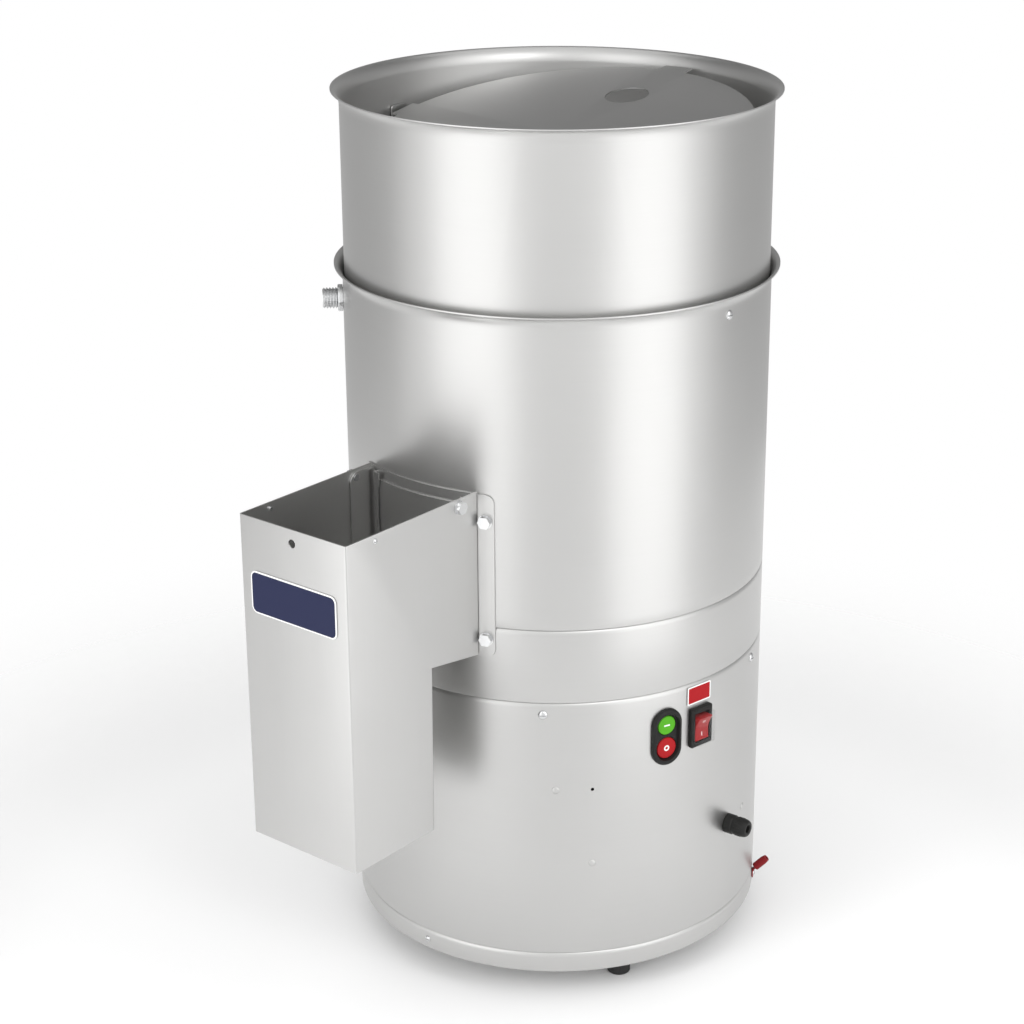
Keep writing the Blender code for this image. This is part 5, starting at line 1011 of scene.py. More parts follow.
@dataclass
class Chute:
    """The flanged neck on the drum, the tall box in front of it and the gate between."""

    plate_half: float = 73.0 * MM
    plate_low: float = 307.0 * MM
    top: float = 455.7 * MM
    floor_back: float = 309.0 * MM
    floor_front: float = 317.5 * MM
    cheek_x: float = -213.0 * MM
    box_half: float = 59.6 * MM
    front: float = -342.0 * MM
    rear: float = -243.5 * MM
    box_top: float = 458.0 * MM
    box_low: float = 166.0 * MM
    wall_low: float = 318.0 * MM
    fold: float = 2.0 * MM
    gate_sheet: float = 1.5 * MM
    inner: float = DRUM.radius + GAP
    outer: float = DRUM.radius + GAP + SHEET

    def wall_places(self, spot: tuple[float, float]) -> list[Matrix]:
        """Places on both side walls by x and the drop below the top, local +Z outward."""
        return [Matrix.Translation((spot[0], side * self.box_half, self.box_top - spot[1]))
                @ turned(-90.0 * side, "X") for side in SIDES]

    def bores(self, places: list[Matrix], radius: float, segments: int) -> Solid:
        """A tool that drills through a sheet at several places."""
        tool = Solid()
        for place in places:
            tool.rod(radius, -OVERRUN, OVERRUN, place, segments)
        return tool

    def bolt_places(self) -> list[Matrix]:
        """Where the neck's bolts seat, on the plate and on the side walls."""
        places = [on_wall(azimuth, self.outer, z) for azimuth, z in plate_bolts(LOW_BOLTS, HIGH_BOLTS)]
        return places + self.wall_places(BOX_BOLT)

    def build(self, shop: Shop) -> None:
        """Makes the neck, box, gate, name plate and bolts."""
        for make in (self.neck, self.box, self.gate, self.name_plate):
            make(shop)
        names = [f"chute_plate_bolt_{number}" for number in range(1, 5)]
        names += ["chute_wall_bolt_1", "chute_wall_bolt_2"]
        HexBolt("chute_bolts", BRIGHT).seat(shop, self.bolt_places(), " ".join(names))
        screw = DomeScrew("chute_wall_screws", BRIGHT, radius=2.6 * MM, height=1.5 * MM,
                          slot_width=0.7 * MM, slot_depth=0.6 * MM, shank=1.6 * MM, reach=3.0 * MM)
        screw.seat(shop, self.wall_places(BOX_SCREW))

    def neck(self, shop: Shop) -> None:
        """The curved plate with its cheeks, floor and the gate's rails, opened for the window."""
        reach = self.plate_half + OVERRUN
        plate = Solid().prism(wall_arc(self.outer, -reach, reach) + wall_arc(self.inner, reach, -reach),
                              self.plate_low - OVERRUN, self.top + OVERRUN)
        face_on = at(z=(self.top + self.plate_low) / 2.0) @ turned(180.0, "Z") @ SIDEWAYS
        blank = Solid().prism(rounded(2.0 * self.plate_half, self.top - self.plate_low, 8.0 * MM),
                              DRUM.radius / 2.0, self.outer + OVERRUN, face_on)
        half = self.box_half - SHEET - GAP
        buried = -math.sqrt(DRUM.radius ** 2 - half ** 2) + OVERRUN
        bow = 10.0 * MM
        cheek = [(self.cheek_x, self.floor_front), (buried, self.floor_back), (buried, self.top)]
        cheek += arc(self.cheek_x + bow, self.top - bow, bow, 90.0, 180.0, 8)
        cheeks = Solid()
        rails = Solid()
        slide = self.outer + GAP + self.gate_sheet + RUN_GAP
        lip, bridge, edge = mm(46.0, 50.6, 54.0)
        for side in SIDES:
            cheeks.across(cheek, side * (half - SHEET), side * half)
            rails.prism(wall_arc(slide + SHEET, side * lip, side * edge, 6)
                        + wall_arc(self.outer - 0.6 * MM, side * edge, side * bridge, 4)
                        + wall_arc(slide, side * bridge, side * lip, 4), *mm(330.0, 452.0))
        front = self.rear + GAP
        high = self.floor_front + GAP
        floor = Solid().across([(front, high), (buried, self.floor_back), (buried, self.floor_back + SHEET),
                                (front, high + SHEET)], -half, half)
        hollow = Solid().rod(self.inner, self.plate_low - 8.0 * MM, self.top + 8.0 * MM, None, DRUM.segments)
        steps = [("INTERSECT", blank)] + joins(cheeks, floor, rails)
        steps += cuts(hollow, Solid().box(*WINDOW), self.bores(self.bolt_places(), BOLT_HOLE, 24))
        shop.piece("neck_sheet", plate, SATIN_BOX, "chute_neck", steps)

    def box(self, shop: Shop) -> None:
        """The folded box, open above and below, with small bend radii at its upright corners."""
        end_x = -math.sqrt(self.outer ** 2 - self.box_half ** 2) - SHEET
        slope = (self.floor_back - self.wall_low) / (end_x - self.rear)
        end_z = self.wall_low + slope * (end_x - self.rear)
        outline = [(self.front, self.box_low), (self.rear, self.box_low), (self.rear, self.wall_low),
                   (end_x, end_z), (end_x, self.box_top), (self.front, self.box_top)]

        def folds(edge: bmesh.types.BMEdge) -> bool:
            """Says whether an edge is an upright fold, away from the neck."""
            a, b = (vert.co for vert in edge.verts)
            upright = abs(a.x - b.x) < 1.0e-6 and abs(a.y - b.y) < 1.0e-6
            return upright and a.x < self.rear + OVERRUN

        solid = Solid().across(outline, -self.box_half, self.box_half).soften(self.fold, folds, 4)
        front = self.front + SHEET
        rear = self.rear - SHEET
        wall = self.box_half - SHEET
        deep = 8.0 * MM
        inside = [(front, self.box_low - OVERRUN), (rear, self.box_low - OVERRUN), (rear, self.wall_low),
                  (self.rear + OVERRUN, self.wall_low - deep), (end_x + OVERRUN, end_z - deep),
                  (end_x + OVERRUN, self.box_top + OVERRUN), (front, self.box_top + OVERRUN)]
        hollow = Solid().across(inside, -wall, wall).soften(self.fold - SHEET, folds, 3)
        holes = Solid().rod(3.8 * MM, -OVERRUN, OVERRUN,
                            on_wall(180.0, -self.front, self.box_top - 12.0 * MM), 32)
        for spot, radius, segments in ((BOX_BOLT, BOLT_HOLE, 24), (BOX_SCREW, 1.9 * MM, 20)):
            for place in self.wall_places(spot):
                holes.rod(radius, -OVERRUN, OVERRUN, place, segments)
        shop.piece("folded_box", solid, SATIN_BOX, "chute_box", cuts(hollow, holes))

    def gate(self, shop: Shop) -> None:
        """The curved sliding gate with its finger lip."""
        inner = self.outer + GAP
        outer = inner + self.gate_sheet
        half, lip_half, slant, lip_out = mm(50.0, 26.0, 4.0, 12.0)
        gate = Solid().prism(wall_arc(outer, -half, half) + wall_arc(inner, half, -half), *mm(336.0, 446.0))
        ends = [(-outer - lip_out, -lip_half + slant), (-outer - lip_out, lip_half - slant)]
        lip = Solid().prism(wall_arc(inner + self.gate_sheet / 2.0, lip_half, -lip_half, 12) + ends,
                            *mm(352.0, 354.0))
        shop.piece("gate_sheet", gate, SATIN_BOX, "discharge_gate", joins(lip), "gate")

    def name_plate(self, shop: Shop) -> None:
        """The bare enamelled field on its white-edged plate."""
        place = on_wall(180.0, -self.front, self.box_top - 46.0 * MM - 18.75 * MM)
        plate = Solid().prism(rounded(*mm(96.0, 37.5, 6.0)), GAP, GAP + 0.9 * MM, place)
        plate.soften(0.3 * MM, sharp_edge(60.0), 2)
        shop.piece("plate_border", plate, WHITE_INK, "name_plate")
        field = Solid().prism(rounded(*mm(93.4, 34.9, 4.7)), *mm(1.1, 1.24), place)
        shop.piece("bare_field", field, NAVY)


# Drive

@dataclass
class DiscDrive:
    """The abrasive disc with its waves and cap nut."""

    radius: float = 177.0 * MM
    top: float = 340.0 * MM
    thick: float = 12.0 * MM
    rim_up: float = 4.0 * MM
    rim_edge: float = 1.5 * MM
    hub_r: float = 24.0 * MM
    hub_drop: float = 22.0 * MM
    waves: int = 3
    wave_width: float = 26.0 * MM
    wave_up: float = 5.0 * MM
    bore: float = 8.3 * MM

    def build(self, shop: Shop) -> None:
        """Makes the disc and its cap nut."""
        bottom = self.top - self.thick
        high = self.top + self.rim_up
        edge = self.rim_edge
        low = bottom - self.hub_drop
        profile = [(self.bore, low), (self.hub_r, low), (self.hub_r, bottom)]
        profile += arc(self.radius - edge, bottom + edge, edge, -90.0, 0.0, 4)
        profile += arc(self.radius - edge, high - edge, edge, 0.0, 90.0, 4)
        for index in range(13):
            share = index / 12.0
            profile.append((self.radius - self.rim_up - 8.0 * MM * share, self.swell(self.rim_up, share)))
        profile.append((self.bore, self.top))
        half = self.wave_width / 2.0
        ridge = [(-half, self.top - GAP), (half, self.top - GAP)]
        for index in range(17):
            share = 1.0 - 2.0 * index / 16.0
            ridge.append((half * share, self.swell(self.wave_up, share)))
        waves = Solid()
        for azimuth in spread(self.waves):
            waves.prism(ridge, self.hub_r + half, self.radius - 4.0 * self.rim_up,
                        at(turn=azimuth) @ SIDEWAYS)
        shop.piece("grit_disc", rolled(profile), GRIT, "abrasive_disc", joins(waves), "disc_drive", 40.0)
        seat = self.top + GAP
        nut = [(0.0, 348.6 * MM), (self.bore, 348.6 * MM), (self.bore, seat), (19.0 * MM, seat)]
        nut += arc(17.0 * MM, seat + 3.2 * MM, 2.0 * MM, 0.0, 60.0, 5)
        nut += arc(4.0 * MM, seat + 2.8 * MM, 10.2 * MM, 55.0, 90.0, 8) + [(0.0, seat + 13.0 * MM)]
        shop.piece("domed_nut", Solid().lathe(nut, segments=64), BRIGHT, "disc_cap_nut", body="disc_drive")

    def swell(self, up: float, share: float) -> float:
        """Height of a cosine swell over the disc, from its crest at 0 to its foot at 1."""
        return self.top + up * (0.5 + 0.5 * math.cos(math.pi * share))


@dataclass
class Underside:
    """Bolts and finishes of the motor, belt and bearings below the chamber."""

    motor_azimuth: float = 60.0
    motor_offset: float = 108.0 * MM
    motor_z: float = 71.1 * MM
    motor_bolts: float = 57.0 * MM
    bearing_z: float = 259.7 * MM
    bearing_bolts: float = 49.0 * MM

    def build(self, shop: Shop) -> None:
        """Seats the drive's bolts and finishes the CAD's own drive nodes."""
        motor = round_axis(self.motor_azimuth, self.motor_offset, self.motor_z)
        turns = spread(4, 45.0)
        places = [round_axis(turn, self.bearing_bolts, self.bearing_z) @ FACING_DOWN for turn in turns]
        places += [motor @ round_axis(turn, self.motor_bolts) @ FACING_DOWN for turn in turns]
        bolt = HexBolt("drive_bolts", BRIGHT, half_flat=4.0 * MM, height=3.2 * MM, washer=5.2 * MM)
        bolt.seat(shop, places)
        for finish, nodes in (
                (TURNED, "drive_shaft lower_bearing upper_bearing"),
                (CAST, "bearing_housing driven_pulley motor_pulley lower_end_bell upper_end_bell"),
                (RUBBER, "drive_belt shaft_seal"), (MOTOR_PAINT, "motor_body"),
                (DARK_STEEL, "motor_stand motor_rotor stator fan_cover"),
                (BLACK, "motor_fan run_capacitor contact_block gland_nut"),
                (BRIGHT, "capacitor_clamp inlet_nut")):
            shop.repaint(finish, nodes)


# Controls

def quarter(edge: float, steps: int) -> Outline:
    """Insets and rises of a quarter round, after its start."""
    angles = [math.radians(90.0 * (index + 1) / steps) for index in range(steps)]
    return [(edge * (1.0 - math.cos(angle)), edge * math.sin(angle)) for angle in angles]


def cushion(size: tuple[float, float, float], low: float, high: float, edge: float,
            place: Matrix) -> Solid:
    """A rounded rectangle stood up, with its outer edge rounded.

    Args:
        size: its width, height and corner radius.
        low: where it starts along local +Z.
        high: its outer face.
        edge: the round's radius.
        place: its middle on the wall.

    Returns:
        The solid.
    """
    steps = [(0.0, low), (0.0, high - edge)]
    steps += [(inset, high - edge + rise) for inset, rise in quarter(edge, 4)]
    outlines = [rounded(size[0] - 2.0 * inset, size[1] - 2.0 * inset, size[2] - inset, 5)
                for inset, _ in steps]
    return Solid().skin(outlines, [height for _, height in steps], place)


@dataclass
class PushButtons:
    """The pill-shaped bezel with its start and stop buttons."""

    width: float = 30.0 * MM
    height: float = 54.0 * MM
    proud: float = 4.0 * MM
    edge: float = 2.5 * MM
    dish_width: float = 23.0 * MM
    dish_height: float = 43.5 * MM
    dish_up: float = 0.8 * MM
    body_in: float = 24.0 * MM
    spacing: float = 22.0 * MM
    start_r: float = 8.9 * MM
    stop_r: float = 9.8 * MM
    face: float = 1.6 * MM
    cap: float = 6.0 * MM
    cap_edge: float = 1.1 * MM
    stem_r: float = 5.0 * MM
    stem_in: float = 19.9 * MM

    def place(self, side: float = 0.0, up: float = 0.0) -> Matrix:
        """The bezel's middle, or one button's with side 1 above and -1 below."""
        return on_drum(BUTTONS) @ at(y=side * self.spacing / 2.0) @ at(z=up)

    def build(self, shop: Shop) -> None:
        """Makes the bezel, both buttons and their marks."""
        shoulder = [(0.0, GAP - self.proud), (0.0, -self.edge)]
        shoulder += [(inset, rise - self.edge) for inset, rise in quarter(self.edge, 6)]
        outlines = [pill(self.width - 2.0 * inset, self.height - 2.0 * inset) for inset, _ in shoulder]
        top = Solid().skin(outlines, [low for _, low in shoulder], self.place(up=self.proud))
        deep = 0.9 * MM
        rows = ((-0.8 * MM, self.dish_up), (0.0, self.dish_up + deep), (GAP, self.proud - deep),
                (1.2 * MM, self.proud), (1.2 * MM, self.proud + OVERRUN))
        dish = Solid().skin([pill(self.dish_width + extra, self.dish_height + extra) for extra, _ in rows],
                            [height for _, height in rows], self.place())
        wells = Solid()
        for radius, side in ((self.start_r, 1.0), (self.stop_r, -1.0)):
            wells.rod(radius + RUN_GAP, -self.body_in - OVERRUN, self.proud + OVERRUN, self.place(side), 64)
        bezel = Solid().prism(pill(*mm(27.0, 46.0)), -self.body_in, self.proud / 2.0, self.place())
        shop.piece("switch_bezel", bezel, BLACK, "button_bezel", joins(top) + cuts(dish, wells))
        start = self.place(1.0, self.face)
        bar = Solid().box(mm(-3.0, -0.75, -0.3), mm(3.0, 0.75, 0.3), start)
        self.button(shop, "start", GREEN, self.start_r, 1.0, bar)
        mark = Solid().box(mm(-2.95, -0.7, -0.29), mm(2.95, 0.7, -0.02), start)
        shop.piece("start_mark", mark, WHITE_INK, body="start_button")
        stop = self.place(-1.0, self.face)
        self.button(shop, "stop", RED, self.stop_r, -1.0, Solid().rod(*mm(2.8, -0.4, 0.3), stop))
        ring = path((1.4, -0.39), (2.7, -0.39), (2.7, -0.02), (1.4, -0.02))
        shop.piece("stop_mark", Solid().lathe(ring, stop), WHITE_INK, body="stop_button")

    def button(self, shop: Shop, name: str, finish: Finish, radius: float, side: float,
               recess: Solid) -> None:
        """Makes one button.

        Args:
            shop: where it is finished.
            name: start or stop.
            finish: its finish.
            radius: its cap's radius.
            side: 1 for the upper button and -1 for the lower one.
            recess: what is cut out for its mark.
        """
        low = self.face - self.cap
        profile = [(0.0, -self.stem_in), (self.stem_r, -self.stem_in), (self.stem_r, low), (radius, low)]
        profile += arc(radius - self.cap_edge, self.face - self.cap_edge, self.cap_edge, 0.0, 90.0, 8)
        solid = Solid().lathe(profile + [(0.0, self.face)], self.place(side), 64)
        body = name + "_button"
        shop.piece(name + "_cap", solid, finish, body, cuts(recess), body)


@dataclass
class Rocker:
    """The rocker switch in its frame under a clear cover, and the bare sign above it."""

    width: float = 25.6 * MM
    height: float = 37.5 * MM
    proud: float = 4.0 * MM
    body_in: float = 26.0 * MM
    key_width: float = 17.6 * MM
    key_height: float = 27.5 * MM
    key_out: float = 6.4 * MM
    key_in: float = 9.0 * MM
    pivot_in: float = 3.6 * MM
    swing: float = 12.0
    pin_r: float = 1.5 * MM
    cover_out: float = 10.5 * MM
    cover_sheet: float = 1.0 * MM
    sign: tuple[float, float] = (-100.4, 255.0 * MM)

    def pivot(self) -> Matrix:
        """The key's pin, across the wall."""
        return on_drum(ROCKER) @ at(z=self.proud - self.pivot_in)

    def pins(self, radius: float, near: float, far: float, place: Matrix) -> Solid:
        """Both pins, or the holes for them, from near to far of the middle."""
        tool = Solid()
        for side in SIDES:
            low, high = sorted((side * near, side * far))
            tool.rod(radius, low, high, place @ turned(90.0, "Y"), 24)
        return tool

    def build(self, shop: Shop) -> None:
        """Makes the frame, key, cover and sign."""
        for make in (self.frame, self.key, self.cover):
            make(shop)
        sign = on_drum(self.sign)
        plate = Solid().prism(rounded(*mm(27.9, 17.0, 1.0), 3), GAP, GAP + 0.35 * MM, sign)
        shop.piece("sign_border", plate, WHITE_INK)
        field = Solid().prism(rounded(*mm(25.5, 14.6, 0.6), 3), *mm(0.67, 0.78), sign)
        shop.piece("bare_sign", field, SIGN_RED, "red_sign")

    def frame(self, shop: Shop) -> None:
        """The black frame with its body behind the wall."""
        place = on_drum(ROCKER)
        frame = Solid().prism(rounded(*mm(23.0, 32.0, 0.5), 2), -self.body_in, self.proud / 2.0, place)
        ring = cushion((self.width, self.height, 2.0 * MM), GAP, self.proud, 1.2 * MM, place)
        half = self.key_width / 2.0
        tall = self.key_height / 2.0
        pocket = self.proud - self.pivot_in - self.key_in - 2.0 * RUN_GAP
        hollow = Solid().box((-half, -tall, pocket), (half, tall, self.proud + OVERRUN), place)
        holes = self.pins(self.pin_r + GAP, half - RUN_GAP, half + 2.3 * MM, self.pivot())
        shop.piece("switch_frame", frame, BLACK, "rocker_frame", joins(ring) + cuts(hollow, holes))

    def key(self, shop: Shop) -> None:
        """The red key, hollowed along a true curve, with its two marks."""
        place = self.pivot() @ turned(self.swing, "X")
        half = self.key_height / 2.0 - 3.0 * RUN_GAP
        outline = [(-half * 0.75, -self.key_in * 0.7), (0.0, -self.key_in), (half * 0.75, -self.key_in * 0.7)]
        for index in range(17):
            share = 1.0 - index / 8.0
            outline.append((half * share, self.rise(abs(share))))
        key_half = self.key_width / 2.0 - RUN_GAP
        key = Solid().prism(outline, -key_half, key_half, place @ SIDEWAYS).soften(0.5 * MM, sharp_edge(50.0))
        pins = self.pins(self.pin_r, key_half - RUN_GAP, self.key_width / 2.0 + 1.4 * MM, place)
        shop.piece("switch_key", key, KEY_RED, "rocker_key", joins(pins), "rocker")
        share = 0.55
        lean = math.atan(self.key_out * 0.72 * share ** 0.6 / half)
        upper, lower = (place @ at(y=side * half * share, z=self.rise(share))
                        @ Matrix.Rotation(side * lean, 4, "X") for side in (1.0, -1.0))
        ring = path((1.1, -0.2), (1.5, -0.2), (1.5, 0.06), (1.1, 0.06))
        shop.piece("off_mark", Solid().lathe(ring, upper, 32), WHITE_INK, body="rocker")
        bar = Solid().box(mm(-0.4, -1.9, -0.2), mm(0.4, 1.9, 0.09), lower)
        shop.piece("on_mark", bar, WHITE_INK, body="rocker")

    def rise(self, share: float) -> float:
        """How far out the key's face is, from its middle at 0 to its ends at 1."""
        return self.key_out * (0.55 + 0.45 * share ** 1.6)

    def cover(self, shop: Shop) -> None:
        """The clear splash cover over the key."""
        thin = self.cover_sheet
        wide = self.key_width + 4.0 * thin
        tall = self.key_height + 4.0 * thin
        seat = self.proud + GAP
        place = on_drum(ROCKER)
        hollow = Solid().prism(rounded(wide - 2.0 * thin, tall - 2.0 * thin, 1.4 * MM, 4), seat - OVERRUN,
                               self.cover_out - thin, place)
        shell = cushion((wide, tall, 2.4 * MM), seat, self.cover_out, 1.6 * MM, place)
        shop.piece("splash_cover", shell, CLEAR, "rocker_cover", cuts(hollow))


# Fittings

@dataclass
class Fittings:
    """The cable gland, earth terminal, water inlet, drain spout, screws and rivets."""

    thread_crest: float = 9.35 * MM
    thread_root: float = 8.1 * MM
    thread_turns: int = 5
    thread_out: float = 18.1 * MM
    inlet_bore: float = 6.0 * MM
    sump_r: float = 17.0 * MM
    sump_top: float = 267.7 * MM
    sump_low: float = 218.0 * MM
    spout_out: float = 82.0 * MM
    sleeve_start: float = 4.0 * MM
    sleeve_end: float = 19.0 * MM

    def build(self, shop: Shop) -> None:
        """Makes every fitting."""
        for make in (self.gland, self.earth, self.inlet, self.drain, self.screws):
            make(shop)

    def gland(self, shop: Shop) -> None:
        """The black cable gland with its grip ribs."""
        place = on_drum(GLAND)
        profile = path((3.6, -12.0), (6.0, -12.0), (6.0, GAP_MM), (9.0, GAP_MM), (9.0, 7.4), (8.5, 8.0),
                       (8.1, 8.3), (8.1, 9.2), (8.5, 10.2), (8.5, 17.1))
        for angle in (15.0, 30.0, 45.0, 60.0, 75.0, 90.0):
            turn = math.radians(angle)
            profile.append((8.5 * MM - 2.4 * MM * (1.0 - math.cos(turn)), (17.1 + 5.4 * math.sin(turn)) * MM))
        profile += path((4.4, 22.5), (3.6, 21.7))
        shop.piece("gland_body", Solid().lathe(profile, place), BLACK, "cable_gland")
        ribs = [place @ round_axis(azimuth, *mm(8.4, 10.8)) for azimuth in spread(18)]
        GripRib("gland_ribs", BLACK).seat(shop, ribs)

    def earth(self, shop: Shop) -> None:
        """The earth terminal: a ring tongue with its red sleeve."""
        place = on_drum(EARTH)
        lean = place @ at(y=3.5 * MM, z=GAP) @ turned(-45.0, "X")
        ring = Solid().lathe(path((2.3, GAP_MM), (5.0, GAP_MM), (5.0, 1.3), (2.3, 1.3)), place)
        tongue = Solid().box(mm(-2.5, -1.0, -1.0), mm(2.5, 0.0, 5.0), lean)
        edge = 0.5 * MM
        start = self.sleeve_start
        end = self.sleeve_end
        bore, mouth, outer = mm(1.9, 3.1, 3.8)
        deep = end - 4.5 * MM
        profile = [(0.0, start)] + arc(3.3 * MM, start + edge, edge, -90.0, 0.0, 4)
        profile += [(outer, end - 4.0 * MM), (mouth, end), (bore, end), (bore, deep), (0.0, deep)]
        sleeve = Solid().lathe(profile, lean, 40)
        shop.piece("earth_lug", ring, SLEEVE_RED, "earth_terminal", joins(tongue, sleeve))

    def inlet(self, shop: Shop) -> None:
        """The threaded zinc water nipple with its collar."""
        crest = self.thread_crest
        root = self.thread_root
        out = self.thread_out
        bore = self.inlet_bore
        collar = GAP + 4.5 * MM
        edge = 1.2 * MM
        profile = [(bore, -7.0 * MM), (crest, -7.0 * MM), (crest, GAP), (12.0 * MM, GAP)]
        profile += arc(10.8 * MM, collar - edge, edge, 0.0, 90.0, 5)
        steps = 12
        for index in range(self.thread_turns * steps + 1):
            share = index / steps
            fade = min(1.0, self.thread_turns - share)
            wave = 0.5 - 0.5 * math.cos(FULL_TURN * share)
            profile.append((root + (crest - root) * wave * (0.5 + 0.5 * fade),
                            collar + (out - collar) * share / self.thread_turns))
        profile += [(6.6 * MM, out), (bore, out - 0.6 * MM)]
        shop.piece("water_nipple", Solid().lathe(profile, on_drum(INLET), 72), BRIGHT, "water_inlet")

    def drain(self, shop: Shop) -> None:
        """The sump under the chamber's floor with its spout."""
        azimuth, height = DRAIN
        sump = round_axis(azimuth, SUMP_RADIUS)
        along = sump @ at(z=height) @ SIDEWAYS
        fillet = 3.0 * MM
        low = self.sump_low
        outline = [(0.0, low)] + arc(self.sump_r - fillet, low + fillet, fillet, -90.0, 0.0, 6)
        outline += [(self.sump_r, self.sump_top), (0.0, self.sump_top)]
        pipe = Solid().rod(14.0 * MM, 0.0, self.spout_out, along, 64)
        well = Solid().rod(15.0 * MM, low + 2.0 * MM, self.sump_top + OVERRUN, sump, 64)
        bore = Solid().rod(12.0 * MM, 0.0, self.spout_out + OVERRUN, along, 64)
        shop.piece("drain_pipe", Solid().lathe(outline, sump, 64), SATIN_BOX, "drain_spout",
                   joins(pipe) + cuts(well, bore))

    def screws(self, shop: Shop) -> None:
        """The drum's slotted screws, large and small, and the rivets of the panel inside."""
        large = [on_drum(spot) for spot in HOPPER_SCREWS]
        large += [on_drum((azimuth, 256.0 * MM)) for azimuth in spread(5, -1.2)]
        DomeScrew("wall_screws", BRIGHT).seat(shop, large, "hopper_screw_1 hopper_screw_2")
        small = [on_drum(EARTH, 1.3 * MM)] + [on_drum((azimuth, EARTH[1])) for azimuth in (180.0, 60.0)]
        screw = DomeScrew("base_screws", BRIGHT, radius=3.1 * MM, height=1.7 * MM, slot_width=0.8 * MM,
                          slot_depth=0.7 * MM)
        screw.seat(shop, small, "earth_screw")
        rivets = [(-141.9, 183.2 * MM), (-132.1, 109.9 * MM), (-76.8, 109.5 * MM)]
        Dome("panel_rivets", SATIN).seat(shop, [on_drum(spot) for spot in rivets])


# Studio

@dataclass(frozen=True)
class SoftBox:
    """One softbox: where it stands round the machine, its size, and its radiance."""

    name: str
    azimuth: float
    width: float
    radiance: float
    distance: float = 0.85
    z: float = 0.80
    height: float = 1.6
    aim_z: float = 0.80


LAYERS = (("wide", 0.58, 0.9), ("middle", 0.40, 1.2), ("core", 0.20, 2.8))
SOFT_BOXES = [SoftBox(f"{side}_{layer}", azimuth, width, radiance)
              for side, azimuth in (("right", -97.0), ("left", 178.5)) for layer, width, radiance in LAYERS]
SOFT_BOXES.append(SoftBox("box_front", -120.0, 1.2, 3.0, 3.2, 2.6, 1.2, 0.4))


@dataclass(frozen=True)
class Screen:
    """A grey screen that only mirror reflections see, upright and curved round the machine."""

    name: str = "screen_back"
    azimuth: float = 38.5
    span: float = 194.0
    radius: float = 1.35
    thick: float = 0.02
    low: float = 0.02
    high: float = 2.6
    grey_low: float = 0.58
    grey_high: float = 0.06

    def shade(self, sheet: NodeSheet) -> Wire:
        """Glows in a grey that changes with height."""
        height = sheet.add("ShaderNodeSeparateXYZ", {0: sheet.place()}, "Z")
        grey = sheet.smooth(height, self.low, self.high, self.grey_low, self.grey_high)
        return sheet.add("ShaderNodeEmission", {"Color": grey, "Strength": 1.0})

    def stand(self, datum: Datum) -> None:
        """Stands the screen."""
        first = self.azimuth - self.span / 2.0
        last = self.azimuth + self.span / 2.0
        outline = arc(0.0, 0.0, self.radius, first, last, 48)
        outline += arc(0.0, 0.0, self.radius + self.thick, last, first, 48)
        board = Solid().prism(outline, self.low, self.high, at(datum.axis_x, datum.axis_y)).loose(self.name)
        board.data.materials.append(paint(self.name, self.shade))
        for ray in ("camera", "diffuse", "shadow", "transmission"):
            setattr(board, "visible_" + ray, False)


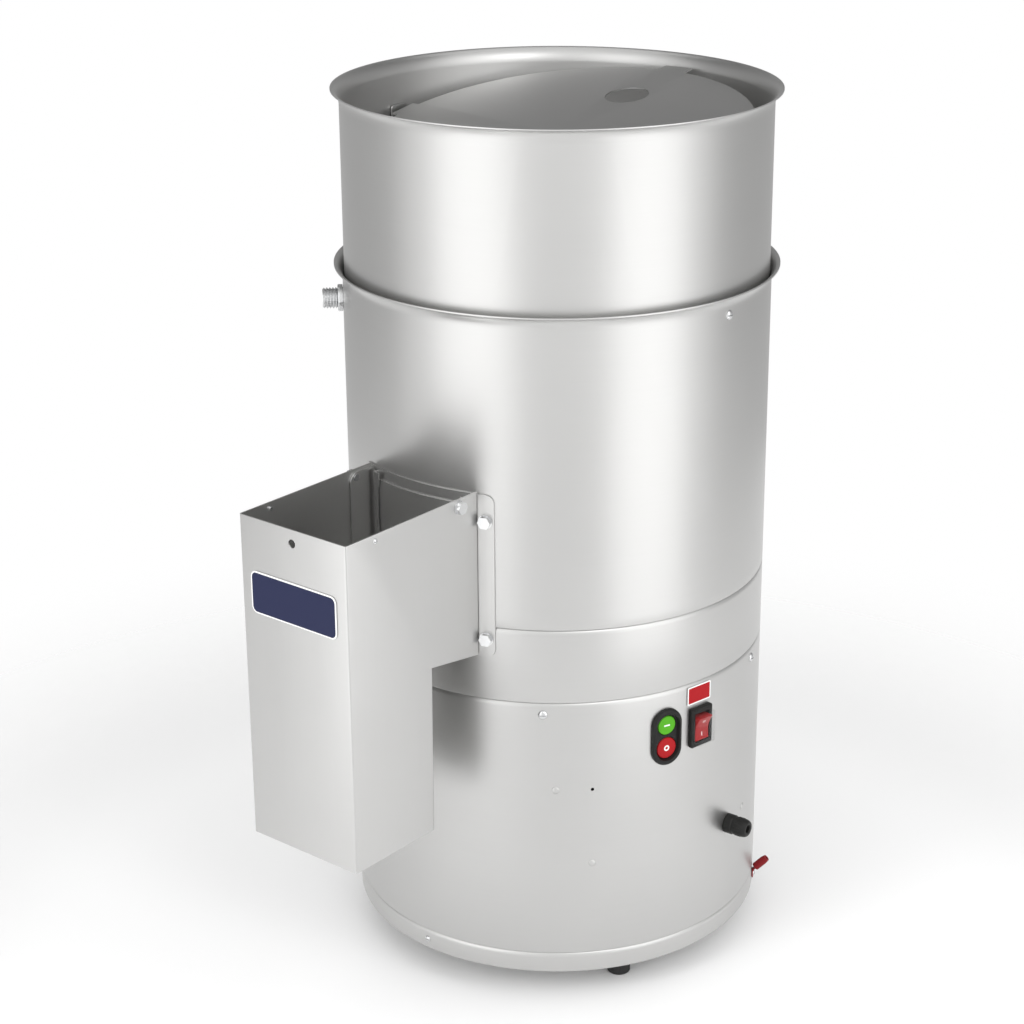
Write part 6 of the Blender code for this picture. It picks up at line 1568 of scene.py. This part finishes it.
@dataclass
class Studio:
    """The plain floor, the white surround, the softboxes, the screen and the camera."""

    floor_grey: float = 0.88
    floor_reach: float = 4.0
    fade_start: float = 0.42
    fade_end: float = 1.05
    surround: float = 1.0
    fill: float = 0.97
    lamp_diffuse: float = 0.08
    hollows: tuple = (("inside_fill", (0.0, 0.0, 0.62), (0.33, 0.33), 0.65),
                      ("chute_fill", (-0.293, 0.0, 0.24), (0.090, 0.108), 2.4))
    lens_mm: float = 80.80
    shift: tuple[float, float] = (-0.0440, -0.0369)
    eye: tuple[float, float, float] = (-1.55011, -1.23300, 1.13078)
    look: tuple[float, float, float] = (69.949, 0.0, -51.5)

    def build(self, datum: Datum) -> None:
        """Builds the surround, the floor, the lights, the screen and the camera."""
        self.world()
        self.floor()
        for box in SOFT_BOXES:
            self.light(box, datum)
        Screen().stand(datum)
        for name, spot, sides, radiance in self.hollows:
            self.inside(name, datum.matrix() @ Vector(spot), sides, radiance)
        self.camera(datum)

    def world(self) -> None:
        """White to the camera and in mirrors, with its own level as fill."""
        world = bpy.data.worlds.new("surround")
        bpy.context.scene.world = world
        world.use_nodes = True
        sheet = NodeSheet(world.node_tree)
        path = sheet.add("ShaderNodeLightPath").socket.node
        camera, glossy, through = (Wire(sheet, path.outputs[f"Is {kind} Ray"])
                                   for kind in ("Camera", "Glossy", "Transmission"))
        soft, plain = (sheet.add("ShaderNodeBackground", {"Color": (1.0, 1.0, 1.0, 1.0), "Strength": level})
                       for level in (self.fill, self.surround))
        both = sheet.add("ShaderNodeMixShader", {0: camera + glossy + through, 1: soft, 2: plain})
        sheet.add("ShaderNodeOutputWorld", {0: both})

    def floor_shade(self, sheet: NodeSheet) -> Wire:
        """Fades the floor's grey out with the distance from the machine."""
        reach = sheet.add("ShaderNodeVectorMath", {0: sheet.place()}, "Value", operation="LENGTH")
        faded = sheet.smooth(reach, self.fade_start, self.fade_end, 1.0, 0.0)
        return sheet.add("ShaderNodeBsdfPrincipled", {
            "Base Color": (self.floor_grey, self.floor_grey, self.floor_grey, 1.0), "Roughness": 0.9,
            "Specular IOR Level": 0.0, "Alpha": faded})

    def floor(self) -> None:
        """A pale floor that keeps the machine's shadow and fades into the surround."""
        reach = self.floor_reach
        floor = Solid().box((-reach, -reach, -0.02), (reach, reach, 0.0)).loose("floor")
        floor.data.materials.append(paint("floor_white", self.floor_shade))

    def lamp(self, name: str, shape: str, sides: tuple[float, float], power: float) -> bpy.types.Object:
        """Adds one area lamp that the camera doesn't see."""
        lamp = bpy.data.lights.new(name, "AREA")
        lamp.shape = shape
        lamp.size, lamp.size_y = sides
        lamp.energy = power
        thing = linked(name, lamp)
        thing.visible_camera = False
        return thing

    def light(self, box: SoftBox, datum: Datum) -> None:
        """Stands one softbox facing the machine's axis."""
        power = box.radiance * math.pi * box.width * box.height
        thing = self.lamp(box.name, "RECTANGLE", (box.width, box.height), power)
        thing.data.diffuse_factor = self.lamp_diffuse
        axis = Vector((datum.axis_x, datum.axis_y, 0.0))
        thing.location = axis + round_axis(box.azimuth, box.distance, box.z).translation
        aim = axis + Vector((0.0, 0.0, box.aim_z)) - thing.location
        thing.rotation_euler = aim.to_track_quat("-Z", "Y").to_euler()

    def inside(self, name: str, spot: Vector, sides: tuple[float, float], radiance: float) -> None:
        """Lays a soft lamp that faces up in a hollow, since the hollows are light in the photograph."""
        power = radiance * math.pi * math.pi * sides[0] * sides[1] / 4.0
        thing = self.lamp(name, "ELLIPSE", sides, power)
        thing.location = spot
        thing.rotation_euler = (math.pi, 0.0, 0.0)

    def camera(self, datum: Datum) -> None:
        """The photo's own viewpoint, as measured from the drum's ellipses."""
        lens = bpy.data.cameras.new("viewpoint")
        lens.sensor_width = 36.0
        lens.lens = self.lens_mm
        lens.shift_x, lens.shift_y = self.shift
        thing = linked("viewpoint", lens)
        thing.location = datum.matrix() @ Vector(self.eye)
        thing.rotation_euler = tuple(math.radians(value) for value in self.look)
        bpy.context.scene.camera = thing


def main() -> None:
    """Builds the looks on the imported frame."""
    logging.basicConfig(level=logging.INFO, format="%(message)s")
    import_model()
    datum = Datum.from_frame()
    shop = Shop(datum)
    for part in (Shells(), LoadingRing(), InnerLid(), Chute(), DiscDrive(), Underside(), PushButtons(),
                 Rocker(), Fittings()):
        part.build(shop)
    Studio().build(datum)
    bpy.context.scene.view_settings.view_transform = "Standard"


if __name__ == "__main__":
    main()
